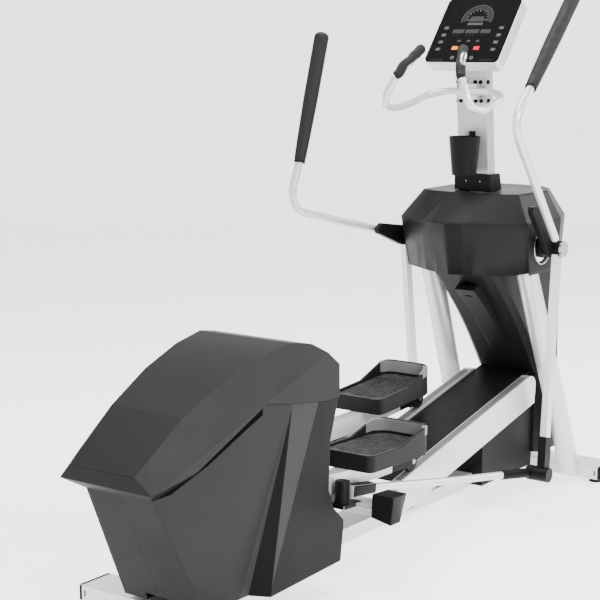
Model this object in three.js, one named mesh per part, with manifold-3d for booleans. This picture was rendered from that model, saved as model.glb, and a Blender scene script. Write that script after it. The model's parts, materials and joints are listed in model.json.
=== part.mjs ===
// Elliptical trainer with a rear crank, two inclined roller rails and swinging handlebars.
// Millimetres, +X forward (towards the console), +Y to the user's left, +Z up, floor at z = 0.
// The origin is under the middle of the machine. The right-hand crank pin is at its rearmost point.
import * as THREE from "three";
import { ConvexGeometry } from "three/addons/geometries/ConvexGeometry.js";
import { mergeVertices } from "three/addons/utils/BufferGeometryUtils.js";
import Module from "manifold-3d";

const wasm = await Module();
wasm.setup();

const degrees = THREE.MathUtils.degToRad;
const machine = new THREE.Group();

// ---------------------------------------------------------------- driving dimensions

const GAP = 0.3; // clearance between pieces that touch
const SIDES = [
  { name: "left", sign: 1 },
  { name: "right", sign: -1 },
];

const foot = { padRadius: 24, padHeight: 9, studRadius: 6, inset: 39 };
const rearStabiliser = { rear: -946, depth: 121, half: 313, bottom: 23, height: 46 };
const frontStabiliser = { rear: 1062, depth: 120, half: 341, bottom: 23, height: 46 };
const beam = { half: 58, bottom: 55, height: 45 };

const ramp = { slope: degrees(12.6), x: 128, z: 235, rear: 30, front: 945, depth: 110 };
const rail = { middle: 118.5, width: 33, footPlate: 11, endRadius: 42 };
const runningStrip = 3; // the height left under the rollers for the grey strips on the rails
const rampCover = { thickness: 4, recess: 9, front: 978, rear: 60 };

const crank = { x: -760, z: 345, radius: 210, axleRadius: 12.5, armWidth: 46, armThickness: 14 };
const crankArm = { inner: 76, pinRadius: 10, pinReach: 8 };
const pedalArm = { middle: 120, width: 40, length: 1090, depth: 60, frontDepth: 32, taper: -400, front: -130 };
const armEnd = { reach: 105, width: 22 }; // the narrow stretch that carries the crank pin
const roller = { radius: 32, width: 24, axleRadius: 8, cheek: 6, cheekGap: 1.5 };
const pedal = { length: 336, width: 200, depth: 52, wall: 9, floor: 34, rimHeight: 44, rimLength: 120 };
const pedalPlace = { middle: -207, lift: 3, tilt: degrees(2.5) };
const mat = { thickness: 12 };
const rodAnchor = { x: -450, z: -20, y: 170, radius: 24, height: 68, margin: 4 };
const outrigger = { x: -400, z: -64, width: 34, thickness: 10, outer: 262 };
const outriggerCover = { width: 74, length: 84, bottom: -98, height: 84 };

const pivot = { x: 755, z: 903, tubeRadius: 30, tubeHalf: 240, shaftRadius: 12.5, capRadius: 27 };
const hub = { inner: 262, outer: 322, radius: 27 };
const handle = { tubeRadius: 14, bendRadius: 95, gripLow: 19, gripHigh: 24.5 };
const swing = { rightRest: degrees(-15.43), leftRest: degrees(15.85), barWidth: 34, barDepth: 22 };
const rod = { radius: 12.5, eyeRadius: 24, eyeWidth: 22, front: 323, socketEnd: 150 };

const leg = { radius: 38, topX: 816, topZ: 664, topY: 198, footX: 1060, footY: 222, end: 30 };
const post = { half: 40, depth: 40, topX: 745, topZ: 1078, kneeX: 1075, kneeZ: 340, footX: 1095 };
const mast = { half: 58, depth: 47, rearX: 712, rearZ: 1138, lean: degrees(4.9), bottom: 1092 };
const collar = { half: 71, rear: 12, front: 20, top: 1146, bottom: 1088 };
const headCover = { bottom: 812, ridge: 990, top: 1085, half: 250, wall: 4, recess: 50 };
const columnCover = { half: 130, wall: 4, top: 806, bottom: 106, front: 1150, bevel: 22 };
const duct = { half: 38, reach: 42 };
const baseCover = { half: 100, rear: 632, wall: 4, bottom: 60 };

const console_ = { width: 290, length: 282, thickness: 45, x: 602, z: 1528, tilt: degrees(39), corner: 20 };
const panel = { thickness: 1.6, margin: 3, keyWidth: 22, keyLength: 15, keyY: 42, keyUp: 62 };
const key = { clearance: 0.5, height: 2.4 };
const bottle = { x: 646, top: 1278, height: 132, topRadius: 54, bottomRadius: 42, wall: 3 };
const pulse = { tubeRadius: 12.5, gripRadius: 16.5 };

const shell = { half: 206, wall: 5, slotWidth: 62, slotLow: 170, slotHigh: 500 };
const drive = { plateGap: 50, plate: 6, pulleyRadius: 150, pulleyWidth: 18, pulleyY: -24 };
const flywheel = { x: -665, z: 560, radius: 112, width: 24, y: 20, pulleyRadius: 24, axleRadius: 8 };
const belt = { thickness: 3, width: 14, clearance: 1.2 };

// ---------------------------------------------------------------- materials

const finish = (color, roughness, metalness = 0) =>
  new THREE.MeshStandardMaterial({ color, roughness, metalness });
const pearlPaint = finish(0xe4e4e6, 0.35, 0.15);
const silver = finish(0xb9bbbe, 0.3, 0.7);
const steel = finish(0x8d9095, 0.35, 0.9);
const charcoal = finish(0x3b3b3d, 0.5);
const blackPlastic = finish(0x1d1d1f, 0.55);
const rubber = finish(0x232324, 0.85);
const gloss = finish(0x050506, 0.1);
const amber = finish(0xe08a3a, 0.4);
const red = finish(0xc4213f, 0.4);

// ---------------------------------------------------------------- geometry helpers

const X = new THREE.Vector3(1, 0, 0);
const Y = new THREE.Vector3(0, 1, 0);
const Z = new THREE.Vector3(0, 0, 1);

const at = (geometry, x, y, z) => geometry.translate(x, y, z);
const box = (x0, x1, y0, y1, z0, z1) =>
  at(new THREE.BoxGeometry(x1 - x0, y1 - y0, z1 - z0), (x0 + x1) / 2, (y0 + y1) / 2, (z0 + z1) / 2);
const outline = (points) => new THREE.Shape(points.map(([a, b]) => new THREE.Vector2(a, b)));

// Extrudes a shape drawn in (x, z) along Y, from y0 to y1.
function plateAlongY(shape, y0, y1, options = {}) {
  const flat = new THREE.ExtrudeGeometry(shape, { depth: y1 - y0, bevelEnabled: false, ...options });
  return at(flat.applyMatrix4(new THREE.Matrix4().makeBasis(X, Z, Y.clone().negate())), 0, y1, 0);
}

// Extrudes a shape drawn in (x, y) up along Z, from z0 to z1.
const plateAlongZ = (shape, z0, z1, options = {}) =>
  at(new THREE.ExtrudeGeometry(shape, { depth: z1 - z0, bevelEnabled: false, ...options }), 0, 0, z0);

// A cylinder between two points.
function rodBetween(a, b, radius, segments = 24, endRadius = radius) {
  const from = new THREE.Vector3(...a);
  const along = new THREE.Vector3(...b).sub(from);
  const cylinder = new THREE.CylinderGeometry(endRadius, radius, along.length(), segments);
  cylinder.translate(0, along.length() / 2, 0);
  cylinder.applyQuaternion(new THREE.Quaternion().setFromUnitVectors(Y, along.normalize()));
  return at(cylinder, ...a);
}

// A disc or ring on an axis along Y, from y0 to y1.
const discAlongY = (x, z, radius, y0, y1, segments = 32) =>
  rodBetween([x, y0, z], [x, y1, z], radius, segments);

function circle(x, y, radius) {
  return new THREE.Shape().absarc(x, y, radius, 0, 2 * Math.PI, false);
}

function roundedRectangle(width, height, radius) {
  const w = width / 2 - radius;
  const h = height / 2 - radius;
  const shape = new THREE.Shape();
  shape.absarc(w, h, radius, 0, Math.PI / 2, false);
  shape.absarc(-w, h, radius, Math.PI / 2, Math.PI, false);
  shape.absarc(-w, -h, radius, Math.PI, 1.5 * Math.PI, false);
  shape.absarc(w, -h, radius, 1.5 * Math.PI, 2 * Math.PI, false);
  return shape;
}

// A round bar of one radius along a smooth curve through the points.
function bentTube(points, radius, steps, sides = 12) {
  const path = new THREE.CatmullRomCurve3(points.map((p) => new THREE.Vector3(...p)), false, "centripetal");
  return tubeAlong(path, radius, steps, sides);
}

function tubeAlong(path, radius, steps, sides) {
  const options = { steps, extrudePath: path, curveSegments: sides / 2, bevelEnabled: false };
  return new THREE.ExtrudeGeometry(circle(0, 0, radius), options);
}

// Straight runs joined by round bends of the same radius.
function roundedPath(points, bend) {
  const corners = points.map((p) => new THREE.Vector3(...p));
  const path = new THREE.CurvePath();
  let last = corners[0];
  for (let i = 1; i < corners.length - 1; i++) {
    const before = corners[i].clone().add(last.clone().sub(corners[i]).setLength(bend));
    const after = corners[i].clone().add(corners[i + 1].clone().sub(corners[i]).setLength(bend));
    path.add(new THREE.LineCurve3(last, before));
    path.add(new THREE.QuadraticBezierCurve3(before, corners[i], after));
    last = after;
  }
  path.add(new THREE.LineCurve3(last, corners.at(-1)));
  return path;
}

// A closed body through horizontal or upright rings that all have the same number of points.
function loft(rings) {
  const count = rings[0].length;
  const vertices = rings.flat(2);
  const faces = [];
  for (let r = 0; r < rings.length - 1; r++)
    for (let i = 0; i < count; i++) {
      const a = r * count + i;
      const b = r * count + ((i + 1) % count);
      faces.push(a, b, b + count, a, b + count, a + count);
    }
  const flat = rings[0].map(([x, y]) => new THREE.Vector2(x, y));
  for (const [a, b, c] of THREE.ShapeUtils.triangulateShape(flat, [])) {
    const top = (rings.length - 1) * count;
    faces.push(a, c, b, top + a, top + b, top + c);
  }
  const geometry = new THREE.BufferGeometry();
  geometry.setAttribute("position", new THREE.Float32BufferAttribute(vertices, 3));
  geometry.setIndex(faces);
  return geometry;
}

// A thick plate along Y whose side view shrinks near both faces: shapeAt(inset) is drawn in (x, z).
function chamferedPlate(shapeAt, half, chamferDepth, chamferInset, divisions) {
  const ring = (inset, depth) => {
    const points = shapeAt(inset).getPoints(divisions);
    if (THREE.ShapeUtils.isClockWise(points)) points.reverse();
    return points.map(({ x, y }) => [x, y, depth]);
  };
  const body = loft([
    ring(chamferInset, -half), ring(0, -half + chamferDepth), ring(0, half - chamferDepth), ring(chamferInset, half),
  ]);
  return body.applyMatrix4(new THREE.Matrix4().makeBasis(X, Z, Y.clone().negate()));
}

// ---------------------------------------------------------------- joining and cutting

function solid(geometry) {
  const bare = geometry.clone();
  bare.deleteAttribute("normal");
  bare.deleteAttribute("uv");
  const merged = mergeVertices(bare, 1e-3);
  const mesh = { numProp: 3, vertProperties: merged.attributes.position.array };
  return new wasm.Manifold(new wasm.Mesh({ ...mesh, triVerts: new Uint32Array(merged.index.array) }));
}

function geometryOf(manifold) {
  const { vertProperties, triVerts } = manifold.getMesh();
  const geometry = new THREE.BufferGeometry();
  geometry.setAttribute("position", new THREE.BufferAttribute(vertProperties, 3));
  geometry.setIndex(new THREE.BufferAttribute(triVerts, 1));
  return geometry;
}

const join = (...pieces) => geometryOf(pieces.map(solid).reduce((a, b) => a.add(b)));
const cut = (body, ...tools) => geometryOf(tools.map(solid).reduce((a, b) => a.subtract(b), solid(body)));
const common = (a, b) => geometryOf(solid(a).intersect(solid(b)));

// Both a piece and its mirror image across the machine's middle plane, as one geometry.
function mirrored(geometry) {
  const other = geometry.index ? geometry.toNonIndexed() : geometry.clone();
  other.applyMatrix4(new THREE.Matrix4().makeScale(1, -1, 1));
  const p = other.attributes.position;
  for (let i = 0; i < p.count; i += 3) {
    const [x, y, z] = [p.getX(i), p.getY(i), p.getZ(i)];
    p.setXYZ(i, p.getX(i + 1), p.getY(i + 1), p.getZ(i + 1));
    p.setXYZ(i + 1, x, y, z);
  }
  return other;
}
const pair = (geometry) => join(geometry, mirrored(geometry));
const onSide = (geometry, side) => (side.sign > 0 ? geometry : mirrored(geometry));

function part(name, geometry, material, parent = machine) {
  const mesh = new THREE.Mesh(geometry, material);
  mesh.name = name;
  parent.add(mesh);
}

// ---------------------------------------------------------------- places worked out from the sizes

const rampTop = (x) => ramp.z + (x - ramp.x) * Math.tan(ramp.slope);
const rampBelow = (x, depth) => rampTop(x) - depth / Math.cos(ramp.slope);
const beamTop = beam.bottom + beam.height;
const rollerRise = (roller.radius + runningStrip + GAP) / Math.cos(ramp.slope);
const mastRear = (z) => mast.rearX - (z - mast.rearZ) * Math.tan(mast.lean);

// The roller stands on the track where the pedal arm's other end meets its crank pin.
function rollerPlace(pinX) {
  let x = pinX + pedalArm.length;
  for (let i = 0; i < 20; i++) {
    const rise = rampTop(x) + rollerRise - crank.z;
    x = pinX + Math.sqrt(pedalArm.length ** 2 - rise ** 2);
  }
  return { x, z: rampTop(x) + rollerRise };
}

// ---------------------------------------------------------------- base frame

const stabiliser = (size) =>
  box(size.rear, size.rear + size.depth, -size.half, size.half, size.bottom, size.bottom + size.height);

function levellingFoot(size) {
  const [x, y] = [size.rear + size.depth / 2, size.half - foot.inset];
  const pad = rodBetween([x, y, 0], [x, y, foot.padHeight], foot.padRadius, 20, foot.padRadius - 5);
  const stud = rodBetween([x, y, foot.padHeight - 2], [x, y, size.bottom - GAP], foot.studRadius, 12);
  return join(pad, stud);
}

part("rear_stabiliser", stabiliser(rearStabiliser), pearlPaint);
part("front_stabiliser", stabiliser(frontStabiliser), pearlPaint);
for (const side of SIDES) {
  part(`rear_foot_${side.name}`, onSide(levellingFoot(rearStabiliser), side), rubber);
  part(`front_foot_${side.name}`, onSide(levellingFoot(frontStabiliser), side), rubber);
}

const beamRear = rearStabiliser.rear + rearStabiliser.depth + GAP;
const beamFront = frontStabiliser.rear - GAP;
part("base_beam", box(beamRear, beamFront, -beam.half, beam.half, beam.bottom, beamTop), pearlPaint);

// ---------------------------------------------------------------- ramp

const railInner = rail.middle - rail.width / 2;
const railOuter = rail.middle + rail.width / 2;
const rampPlateTop = beamTop + GAP + rail.footPlate;
const postFace = (z) => post.kneeX - post.depth / 2 - ((z - post.kneeZ) * (post.kneeX - post.topX)) / (post.topZ - post.kneeZ);

// A rail is a deep flat bar with a level cut at its lower end and a rounded upper end.
function rampRail() {
  const under = ramp.x + ((rampPlateTop - 1 - rampBelow(ramp.x, ramp.depth)) / Math.tan(ramp.slope));
  const shape = new THREE.Shape();
  const nose = rail.endRadius;
  const [dx, dz] = [Math.cos(ramp.slope), Math.sin(ramp.slope)];
  const topEnd = [ramp.front - nose, rampTop(ramp.front - nose)];
  const arcMiddle = [topEnd[0] + nose * dz, topEnd[1] - nose * dx];
  const lowerFront = [ramp.front + nose * (dx - 1) + nose * dz * 0.2, 0];
  lowerFront[1] = rampBelow(lowerFront[0], ramp.depth);
  shape.moveTo(ramp.rear, rampPlateTop - 1);
  shape.lineTo(under, rampPlateTop - 1);
  shape.lineTo(...lowerFront);
  shape.lineTo(arcMiddle[0] + nose * dx, arcMiddle[1] + nose * dz);
  shape.absarc(arcMiddle[0], arcMiddle[1], nose, ramp.slope, ramp.slope + Math.PI / 2, false);
  shape.lineTo(ramp.rear, rampTop(ramp.rear));
  return plateAlongY(shape, railInner, railOuter, { curveSegments: 8 });
}

// A tie between the rails reaches forward to the post.
const tieX = ramp.front - 75;
const tieTop = rampBelow(tieX, 34);
const tieDepth = 50;
function rampFrame() {
  const footPlate = box(ramp.rear, ramp.rear + 110, -railOuter, railOuter, beamTop + GAP, rampPlateTop);
  const tieEnd = postFace(tieTop) - 2;
  const tie = box(tieX, tieEnd, -railInner - 2, railInner + 2, tieTop - tieDepth, tieTop);
  return join(pair(rampRail()), footPlate, tie);
}

// Lays a plate in the ramp's own slope: along it from x0 to x1, and height h0 to h1 above its top.
function rampStrip(x0, x1, y0, y1, h0, h1) {
  const lift = (x, h) => [x - h * Math.sin(ramp.slope), rampTop(x) + h * Math.cos(ramp.slope)];
  return plateAlongY(outline([lift(x0, h0), lift(x1, h0), lift(x1, h1), lift(x0, h1)]), y0, y1);
}

part("ramp_frame", rampFrame(), pearlPaint);
const coverHalf = railInner - GAP;
part("ramp_cover", rampStrip(
  rampCover.rear, rampCover.front, -coverHalf, coverHalf,
  -rampCover.recess - rampCover.thickness, -rampCover.recess), blackPlastic);

// ---------------------------------------------------------------- legs, pivot tube and post

function frontLeg() {
  const slopeX = (leg.footX - leg.topX) / (leg.topZ - frontStabiliser.bottom - frontStabiliser.height);
  const slopeY = (leg.footY - leg.topY) / (leg.topZ - frontStabiliser.bottom - frontStabiliser.height);
  const on = (z) => [leg.topX + (leg.topZ - z) * slopeX, leg.topY + (leg.topZ - z) * slopeY, z];
  const long = rodBetween(on(-20), on(pivot.z), leg.radius, 28);
  const size = frontStabiliser;
  const seat = box(size.rear - GAP, size.rear + 300, 0, 500, -100, size.bottom + size.height + GAP);
  const floor = box(size.rear - 300, size.rear + 300, 0, 500, -100, leg.end);
  return cut(long, seat, floor);
}

const tube = pivot.tubeRadius;
const shaftEnd = hub.outer + 3;
const shaft = (radius, half) => discAlongY(pivot.x, pivot.z, radius, -half, half, 28);
const legFrame = cut(join(
  pair(frontLeg()),
  shaft(tube, pivot.tubeHalf),
  box(pivot.x, postFace(pivot.z + tube) - GAP, -post.half, post.half, pivot.z - tube + 5, pivot.z + tube - 5),
), shaft(pivot.shaftRadius + GAP, pivot.tubeHalf + 50));
part("leg_frame", legFrame, pearlPaint);
const cap = discAlongY(pivot.x, pivot.z, pivot.capRadius, shaftEnd, shaftEnd + 9, 32);
part("pivot_shaft", join(shaft(pivot.shaftRadius, shaftEnd + 2), cap, mirrored(cap)), silver);

const postHalf = post.depth / 2;
const postOutline = outline([
  [post.topX - postHalf, post.topZ],
  [post.kneeX - postHalf, post.kneeZ],
  [post.footX - postHalf, frontStabiliser.bottom + frontStabiliser.height + GAP],
  [post.footX + postHalf, frontStabiliser.bottom + frontStabiliser.height + GAP],
  [post.kneeX + postHalf, post.kneeZ],
  [post.topX + postHalf, post.topZ],
]);
part("upright_post", plateAlongY(postOutline, -post.half, post.half), steel);


// ---------------------------------------------------------------- mast, collar and bottle holder

// The console's back plane, which trims the mast's upper end.
const consoleAlong = [Math.sin(console_.tilt), Math.cos(console_.tilt)];
const consoleBack = [
  console_.x + console_.thickness * consoleAlong[1],
  console_.z - console_.thickness * consoleAlong[0],
];
const consoleBackZ = (x) => consoleBack[1] + ((x - consoleBack[0]) * consoleAlong[1]) / consoleAlong[0] - GAP * 2;

// Where a line along the mast, offset forward from its rear face, meets the console's back.
function mastTop(offset) {
  let z = console_.z;
  for (let i = 0; i < 30; i++) z = consoleBackZ(mastRear(z) + offset);
  return [mastRear(z) + offset, z];
}

const mastOutline = () => outline([
  [mastRear(mast.bottom), mast.bottom],
  [mastRear(mast.bottom) + mast.depth, mast.bottom],
  mastTop(mast.depth),
  mastTop(0),
]);

function collarBody() {
  const [low, high] = [collar.bottom, collar.top];
  const shape = outline([
    [mastRear(low) - collar.rear, low],
    [mastRear(low) + mast.depth + collar.front, low],
    [mastRear(high) + mast.depth + collar.front - 8, high],
    [mastRear(high) - collar.rear + 3, high],
  ]);
  const body = plateAlongY(shape, -collar.half, collar.half);
  const bore = outline([
    [mastRear(low - 20) - GAP, low - 20],
    [mastRear(low - 20) + mast.depth + GAP, low - 20],
    [mastRear(high + 20) + mast.depth + GAP, high + 20],
    [mastRear(high + 20) - GAP, high + 20],
  ]);
  const holes = [-28, 28].map((y) => rodBetween(
    [mastRear(high) - collar.rear - 5, y, high - 26], [mastRear(high) - 1, y, high - 26], 5, 12));
  return cut(body, plateAlongY(bore, -mast.half - GAP, mast.half + GAP), ...holes);
}

function bottleHolder() {
  const { topRadius: r1, bottomRadius: r0, wall, height } = bottle;
  const slope = (r1 - r0) / height;
  const profile = [[0, 0], [r0, 0], [r1, height], [r1 - wall, height], [r0 - wall + slope * wall, wall], [0, wall]];
  const cup = new THREE.LatheGeometry(profile.map(([r, z]) => new THREE.Vector2(r, z)), 36);
  cup.rotateX(Math.PI / 2);
  at(cup, bottle.x, 0, bottle.top - height);
  const face = mastRear(bottle.top) - GAP;
  const tabShape = outline([
    [bottle.x + r1 - 4, bottle.top - 60],
    [mastRear(bottle.top - 60) - GAP, bottle.top - 60],
    [mastRear(bottle.top + 16) - GAP, bottle.top + 16],
    [mastRear(bottle.top + 16) - 7, bottle.top + 16],
    [face - 7, bottle.top],
  ]);
  const hollow = rodBetween([bottle.x, 0, bottle.top - height + wall], [bottle.x, 0, bottle.top + 30],
    r0 - wall + 2, 36, r1 - wall + (30 * slope));
  const clearMast = box(mastRear(bottle.top - height) - 200, bottle.x + 200, -90, 90, 0, bottle.top + 60);
  const tab = cut(plateAlongY(tabShape, -12, 12), hollow);
  const trimmed = common(cup, clearMast);
  const mastSpace = plateAlongY(outline([
    [mastRear(bottle.top - height - 5) - GAP, bottle.top - height - 5],
    [mastRear(bottle.top - height - 5) + mast.depth, bottle.top - height - 5],
    [mastRear(bottle.top + 40) + mast.depth, bottle.top + 40],
    [mastRear(bottle.top + 40) - GAP, bottle.top + 40],
  ]), -90, 90);
  return cut(join(trimmed, tab), mastSpace);
}

part("console_mast", plateAlongY(mastOutline(), -mast.half, mast.half), pearlPaint);
part("mast_collar", collarBody(), blackPlastic);
part("bottle_holder", bottleHolder(), blackPlastic);

// ---------------------------------------------------------------- console

// Drawn flat: x across the console, y up its face, z out of the face. Then leaned back into place.
const consoleGroup = new THREE.Group();
consoleGroup.matrixAutoUpdate = false;
consoleGroup.matrix.makeBasis(
  new THREE.Vector3(0, -1, 0),
  new THREE.Vector3(consoleAlong[0], 0, consoleAlong[1]),
  new THREE.Vector3(-consoleAlong[1], 0, consoleAlong[0]),
);
consoleGroup.matrix.setPosition(console_.x, 0, console_.z);
machine.add(consoleGroup);

const consoleCase = plateAlongZ(
  roundedRectangle(console_.width, console_.length, console_.corner),
  -console_.thickness, -panel.thickness - GAP, { curveSegments: 5 });
at(consoleCase, 0, console_.length / 2, 0);

const panelPlate = plateAlongZ(
  roundedRectangle(console_.width - 2 * panel.margin, console_.length - 2 * panel.margin, console_.corner - panel.margin),
  -panel.thickness, 0, { curveSegments: 5 });
at(panelPlate, 0, console_.length / 2, 0);

const keyHole = (x, grow, z0, z1) =>
  at(plateAlongZ(roundedRectangle(panel.keyWidth + 2 * grow, panel.keyLength + 2 * grow, 3), z0, z1,
    { curveSegments: 3 }), x, panel.keyUp, 0);
const keyWell = -panel.thickness - 4;
part("console_housing", cut(consoleCase,
  keyHole(-panel.keyY, key.clearance, keyWell, 5), keyHole(panel.keyY, key.clearance, keyWell, 5)),
silver, consoleGroup);
part("console_panel", cut(panelPlate,
  keyHole(-panel.keyY, key.clearance, -5, 5), keyHole(panel.keyY, key.clearance, -5, 5)), gloss, consoleGroup);
part("start_key", keyHole(-panel.keyY, 0, key.height - 5, key.height - 1), amber, consoleGroup);
part("stop_key", keyHole(panel.keyY, 0, key.height - 5, key.height - 1), red, consoleGroup);

// ---------------------------------------------------------------- pulse bar

// The bar crosses the mast, swings out and back towards the user and turns up into two grips.
const pulseZ = 1430;
const pulseX = mastRear(pulseZ) - 30;
const pulseSide = [
  [pulseX + 4, 100, pulseZ - 3], [pulseX - 18, 142, pulseZ - 14], [pulseX - 108, 156, pulseZ - 39],
  [pulseX - 190, 168, pulseZ - 53], [pulseX - 255, 164, pulseZ - 40], [pulseX - 268, 152, pulseZ - 4],
  [pulseX - 254, 127, pulseZ + 50],
];
const pulseTop = [pulseX - 158, 76, pulseZ + 153];
const flip = ([x, y, z]) => [x, -y, z];
const pulsePoints = [...pulseSide.map(flip).reverse(), [pulseX, 0, pulseZ], ...pulseSide];
const pulseClamp = box(pulseX, mastRear(pulseZ + 26) - GAP, -34, 34, pulseZ - 26, pulseZ + 26);
const mastGap = plateAlongY(mastOutline(), -mast.half, mast.half).translate(-GAP, 0, 0);
part("pulse_bar", cut(join(bentTube(pulsePoints, pulse.tubeRadius, 48, 10), pulseClamp), mastGap), pearlPaint);

function pulseGrip() {
  const end = new THREE.Vector3(...pulseSide.at(-1));
  const before = new THREE.Vector3(...pulseSide.at(-2));
  const outward = end.clone().sub(before).normalize();
  const start = end.clone().addScaledVector(outward, 3);
  const lead = end.clone().addScaledVector(outward, 16);
  const middle = end.clone().lerp(new THREE.Vector3(...pulseTop), 0.5).add(new THREE.Vector3(-12, 0, 4));
  return bentTube([start.toArray(), lead.toArray(), middle.toArray(), pulseTop], pulse.gripRadius, 10, 12);
}
for (const side of SIDES) part(`pulse_grip_${side.name}`, onSide(pulseGrip(), side), rubber);

// ---------------------------------------------------------------- head, column and base covers

// One horizontal ring of the head cover, from the rear middle round the left side and back.
function headRing(z, points, inset) {
  const half = points.map(([x, y]) => {
    const length = Math.hypot(x - pivot.x - 90, y);
    return [x - ((x - pivot.x - 90) * inset) / length, y * (1 - inset / length), z];
  });
  return [...half.map(([x, y, h]) => [x, -y, h]), ...half.slice(1, -1).reverse()];
}

function headBody(inset, low, high) {
  const h = headCover.half;
  const bottom = [[550, 0], [566, 55], [592, 105], [630, 165], [680, h - 8], [880, h - 6], [1010, 190], [1105, 120], [1128, 0]];
  const ridge = [[515, 0], [532, 60], [566, 116], [598, 180], [640, h], [890, h], [1020, 200], [1118, 125], [1140, 0]];
  const top = [[640, 0], [644, 60], [652, 110], [664, 152], [690, 188], [890, 194], [970, 160], [1030, 100], [1045, 0]];
  return loft([
    headRing(low, bottom, inset), headRing(headCover.ridge - inset * 0.4, ridge, inset), headRing(high, top, inset),
  ]);
}

function headCoverShell() {
  const outer = headBody(0, headCover.bottom, headCover.top);
  const inner = headBody(headCover.wall, headCover.bottom - 20, headCover.top - headCover.wall);
  const recess = discAlongY(pivot.x, pivot.z, headCover.recess, 150, 300, 36);
  const neck = box(mastRear(mast.bottom) - 20, mastRear(mast.bottom) + mast.depth + 30, -66, 66,
    headCover.top - 30, headCover.top + 30);
  return cut(outer, inner, recess, mirrored(recess), neck);
}
part("head_cover", headCoverShell(), charcoal);

// The column's rear face falls away forward in a hollow curve down to the top of the ramp.
const columnFoot = [ramp.front + 42, rampTop(ramp.front + 42) - 18];
function columnOutline(inset, top, bottom) {
  const shape = new THREE.Shape();
  shape.moveTo(640 + inset, top);
  shape.quadraticCurveTo(820 + inset, 660, columnFoot[0] + inset, columnFoot[1]);
  shape.lineTo(baseFront + 3 + inset, columnFoot[1] - 6);
  shape.lineTo(baseFront + 3 + inset, bottom);
  shape.lineTo(columnCover.front - inset, bottom);
  shape.lineTo(columnCover.front - inset, 620);
  shape.lineTo(columnCover.front - 24 - inset, top);
  return shape;
}

const baseFront = ramp.front + 50;
function columnShell() {
  const { half, wall, top, bottom, bevel } = columnCover;
  const body = chamferedPlate((more) => columnOutline(more, top, bottom), half, bevel, bevel, 10);
  const inner = chamferedPlate((more) => columnOutline(wall + more, top + 60, bottom - 60), half - wall, bevel, bevel, 10);
  const rib = new THREE.Shape();
  rib.moveTo(700 - duct.reach, top - 62);
  rib.quadraticCurveTo(828 - duct.reach, 652, columnFoot[0] - duct.reach + 34, columnFoot[1] + 24);
  rib.lineTo(columnFoot[0] + 12, columnFoot[1] + 6);
  rib.quadraticCurveTo(832, 650, 700, top - 40);
  const ribBody = plateAlongY(rib, -duct.half, duct.half, { curveSegments: 10 });
  const mouth = rodBetween([700 - duct.reach + 40, 0, top - 10], [700 + 8, 0, top - 88], 20, 20);
  mouth.scale(1, 1.35, 1);
  const tieDoor = box(baseFront, baseFront + 20, -railInner - 4, railInner + 4, tieTop - tieDepth - 2, tieTop + 2);
  return cut(join(body, ribBody), inner, mouth, tieDoor);
}
part("column_cover", columnShell(), charcoal);

function baseShell() {
  const { half, rear, wall, bottom } = baseCover;
  const lid = (x, drop) => rampBelow(x, ramp.depth) - drop;
  const outer = plateAlongY(outline([
    [rear, bottom], [baseFront, bottom], [baseFront, lid(ramp.front, 4)], [rear, lid(rear, 4)],
  ]), -half, half);
  const inner = plateAlongY(outline([
    [rear + wall, bottom - 10], [baseFront + 10, bottom - 10],
    [baseFront + 10, lid(ramp.front, 4 + wall)], [rear + wall, lid(rear, 4 + wall)],
  ]), -half + wall, half - wall);
  const beamDoor = box(rear - 10, rear + 50, -beam.half - 1, beam.half + 1, 0, beamTop + 1);
  return cut(outer, inner, beamDoor);
}
part("base_cover", baseShell(), blackPlastic);

// ---------------------------------------------------------------- rear housing

// The housing is built from faceted blocks. A corner is [x, distance in from the widest half, z].
const hoodCorners = [
  [-1182, 94, 509], [-1131, 88, 545], [-1002, 80, 633], [-849, 64, 704], [-700, 50, 750], [-580, 40, 769],
  [-500, 26, 755], [-440, 12, 722], [-389, 8, 681],
  [-1170, 45, 463], [-1122, 87, 432], [-735, 6, 632], [-480, -3, 590], [-404, -3, 590],
];
const slantedCorners = [
  [-1124, 89, 446], [-944, 62, 80], [-723, 16, 648], [-618, 8, 605], [-760, 58, 80], [-400, 56, 92], [-404, 16, 605],
];
const uprightCorners = [
  [-618, 9, 605], [-500, 0, 612], [-760, 58, 80], [-733, 0, 80], [-392, 0, 92], [-377, 0, 205], [-404, 0, 610],
];

// A block through mirrored corners, each face pulled in by about an inset, and drawn out up or down by a rise.
function block(corners, inset, rise = 0) {
  const bounds = new THREE.Box3();
  const points = corners.flatMap(([x, back, z]) => [1, -1].map(
    (side) => new THREE.Vector3(x, side * (shell.half - back), z)));
  bounds.setFromPoints(points);
  const middle = bounds.getCenter(new THREE.Vector3());
  const half = bounds.getSize(new THREE.Vector3()).multiplyScalar(0.5);
  const shrink = new THREE.Vector3(1, 1, 1).sub(new THREE.Vector3(inset, inset, inset).divide(half));
  const inner = points.map((point) => point.clone().sub(middle).multiply(shrink).add(middle));
  return new ConvexGeometry([...inner, ...inner.map((point) => point.clone().add(new THREE.Vector3(0, 0, rise)))]);
}

// The hollow in the front wall, between the foot and the hood, kept a wall's thickness from the inside.
const hollow = (wall) => plateAlongY(outline([
  [-372 - wall, 208], [-430 - wall, 262], [-454 - wall, 320], [-447 - wall, 467], [-404 - wall, 594],
  [-404 - wall, 640], [-200, 640], [-200, 208 - wall],
]), -400, 400);

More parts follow.
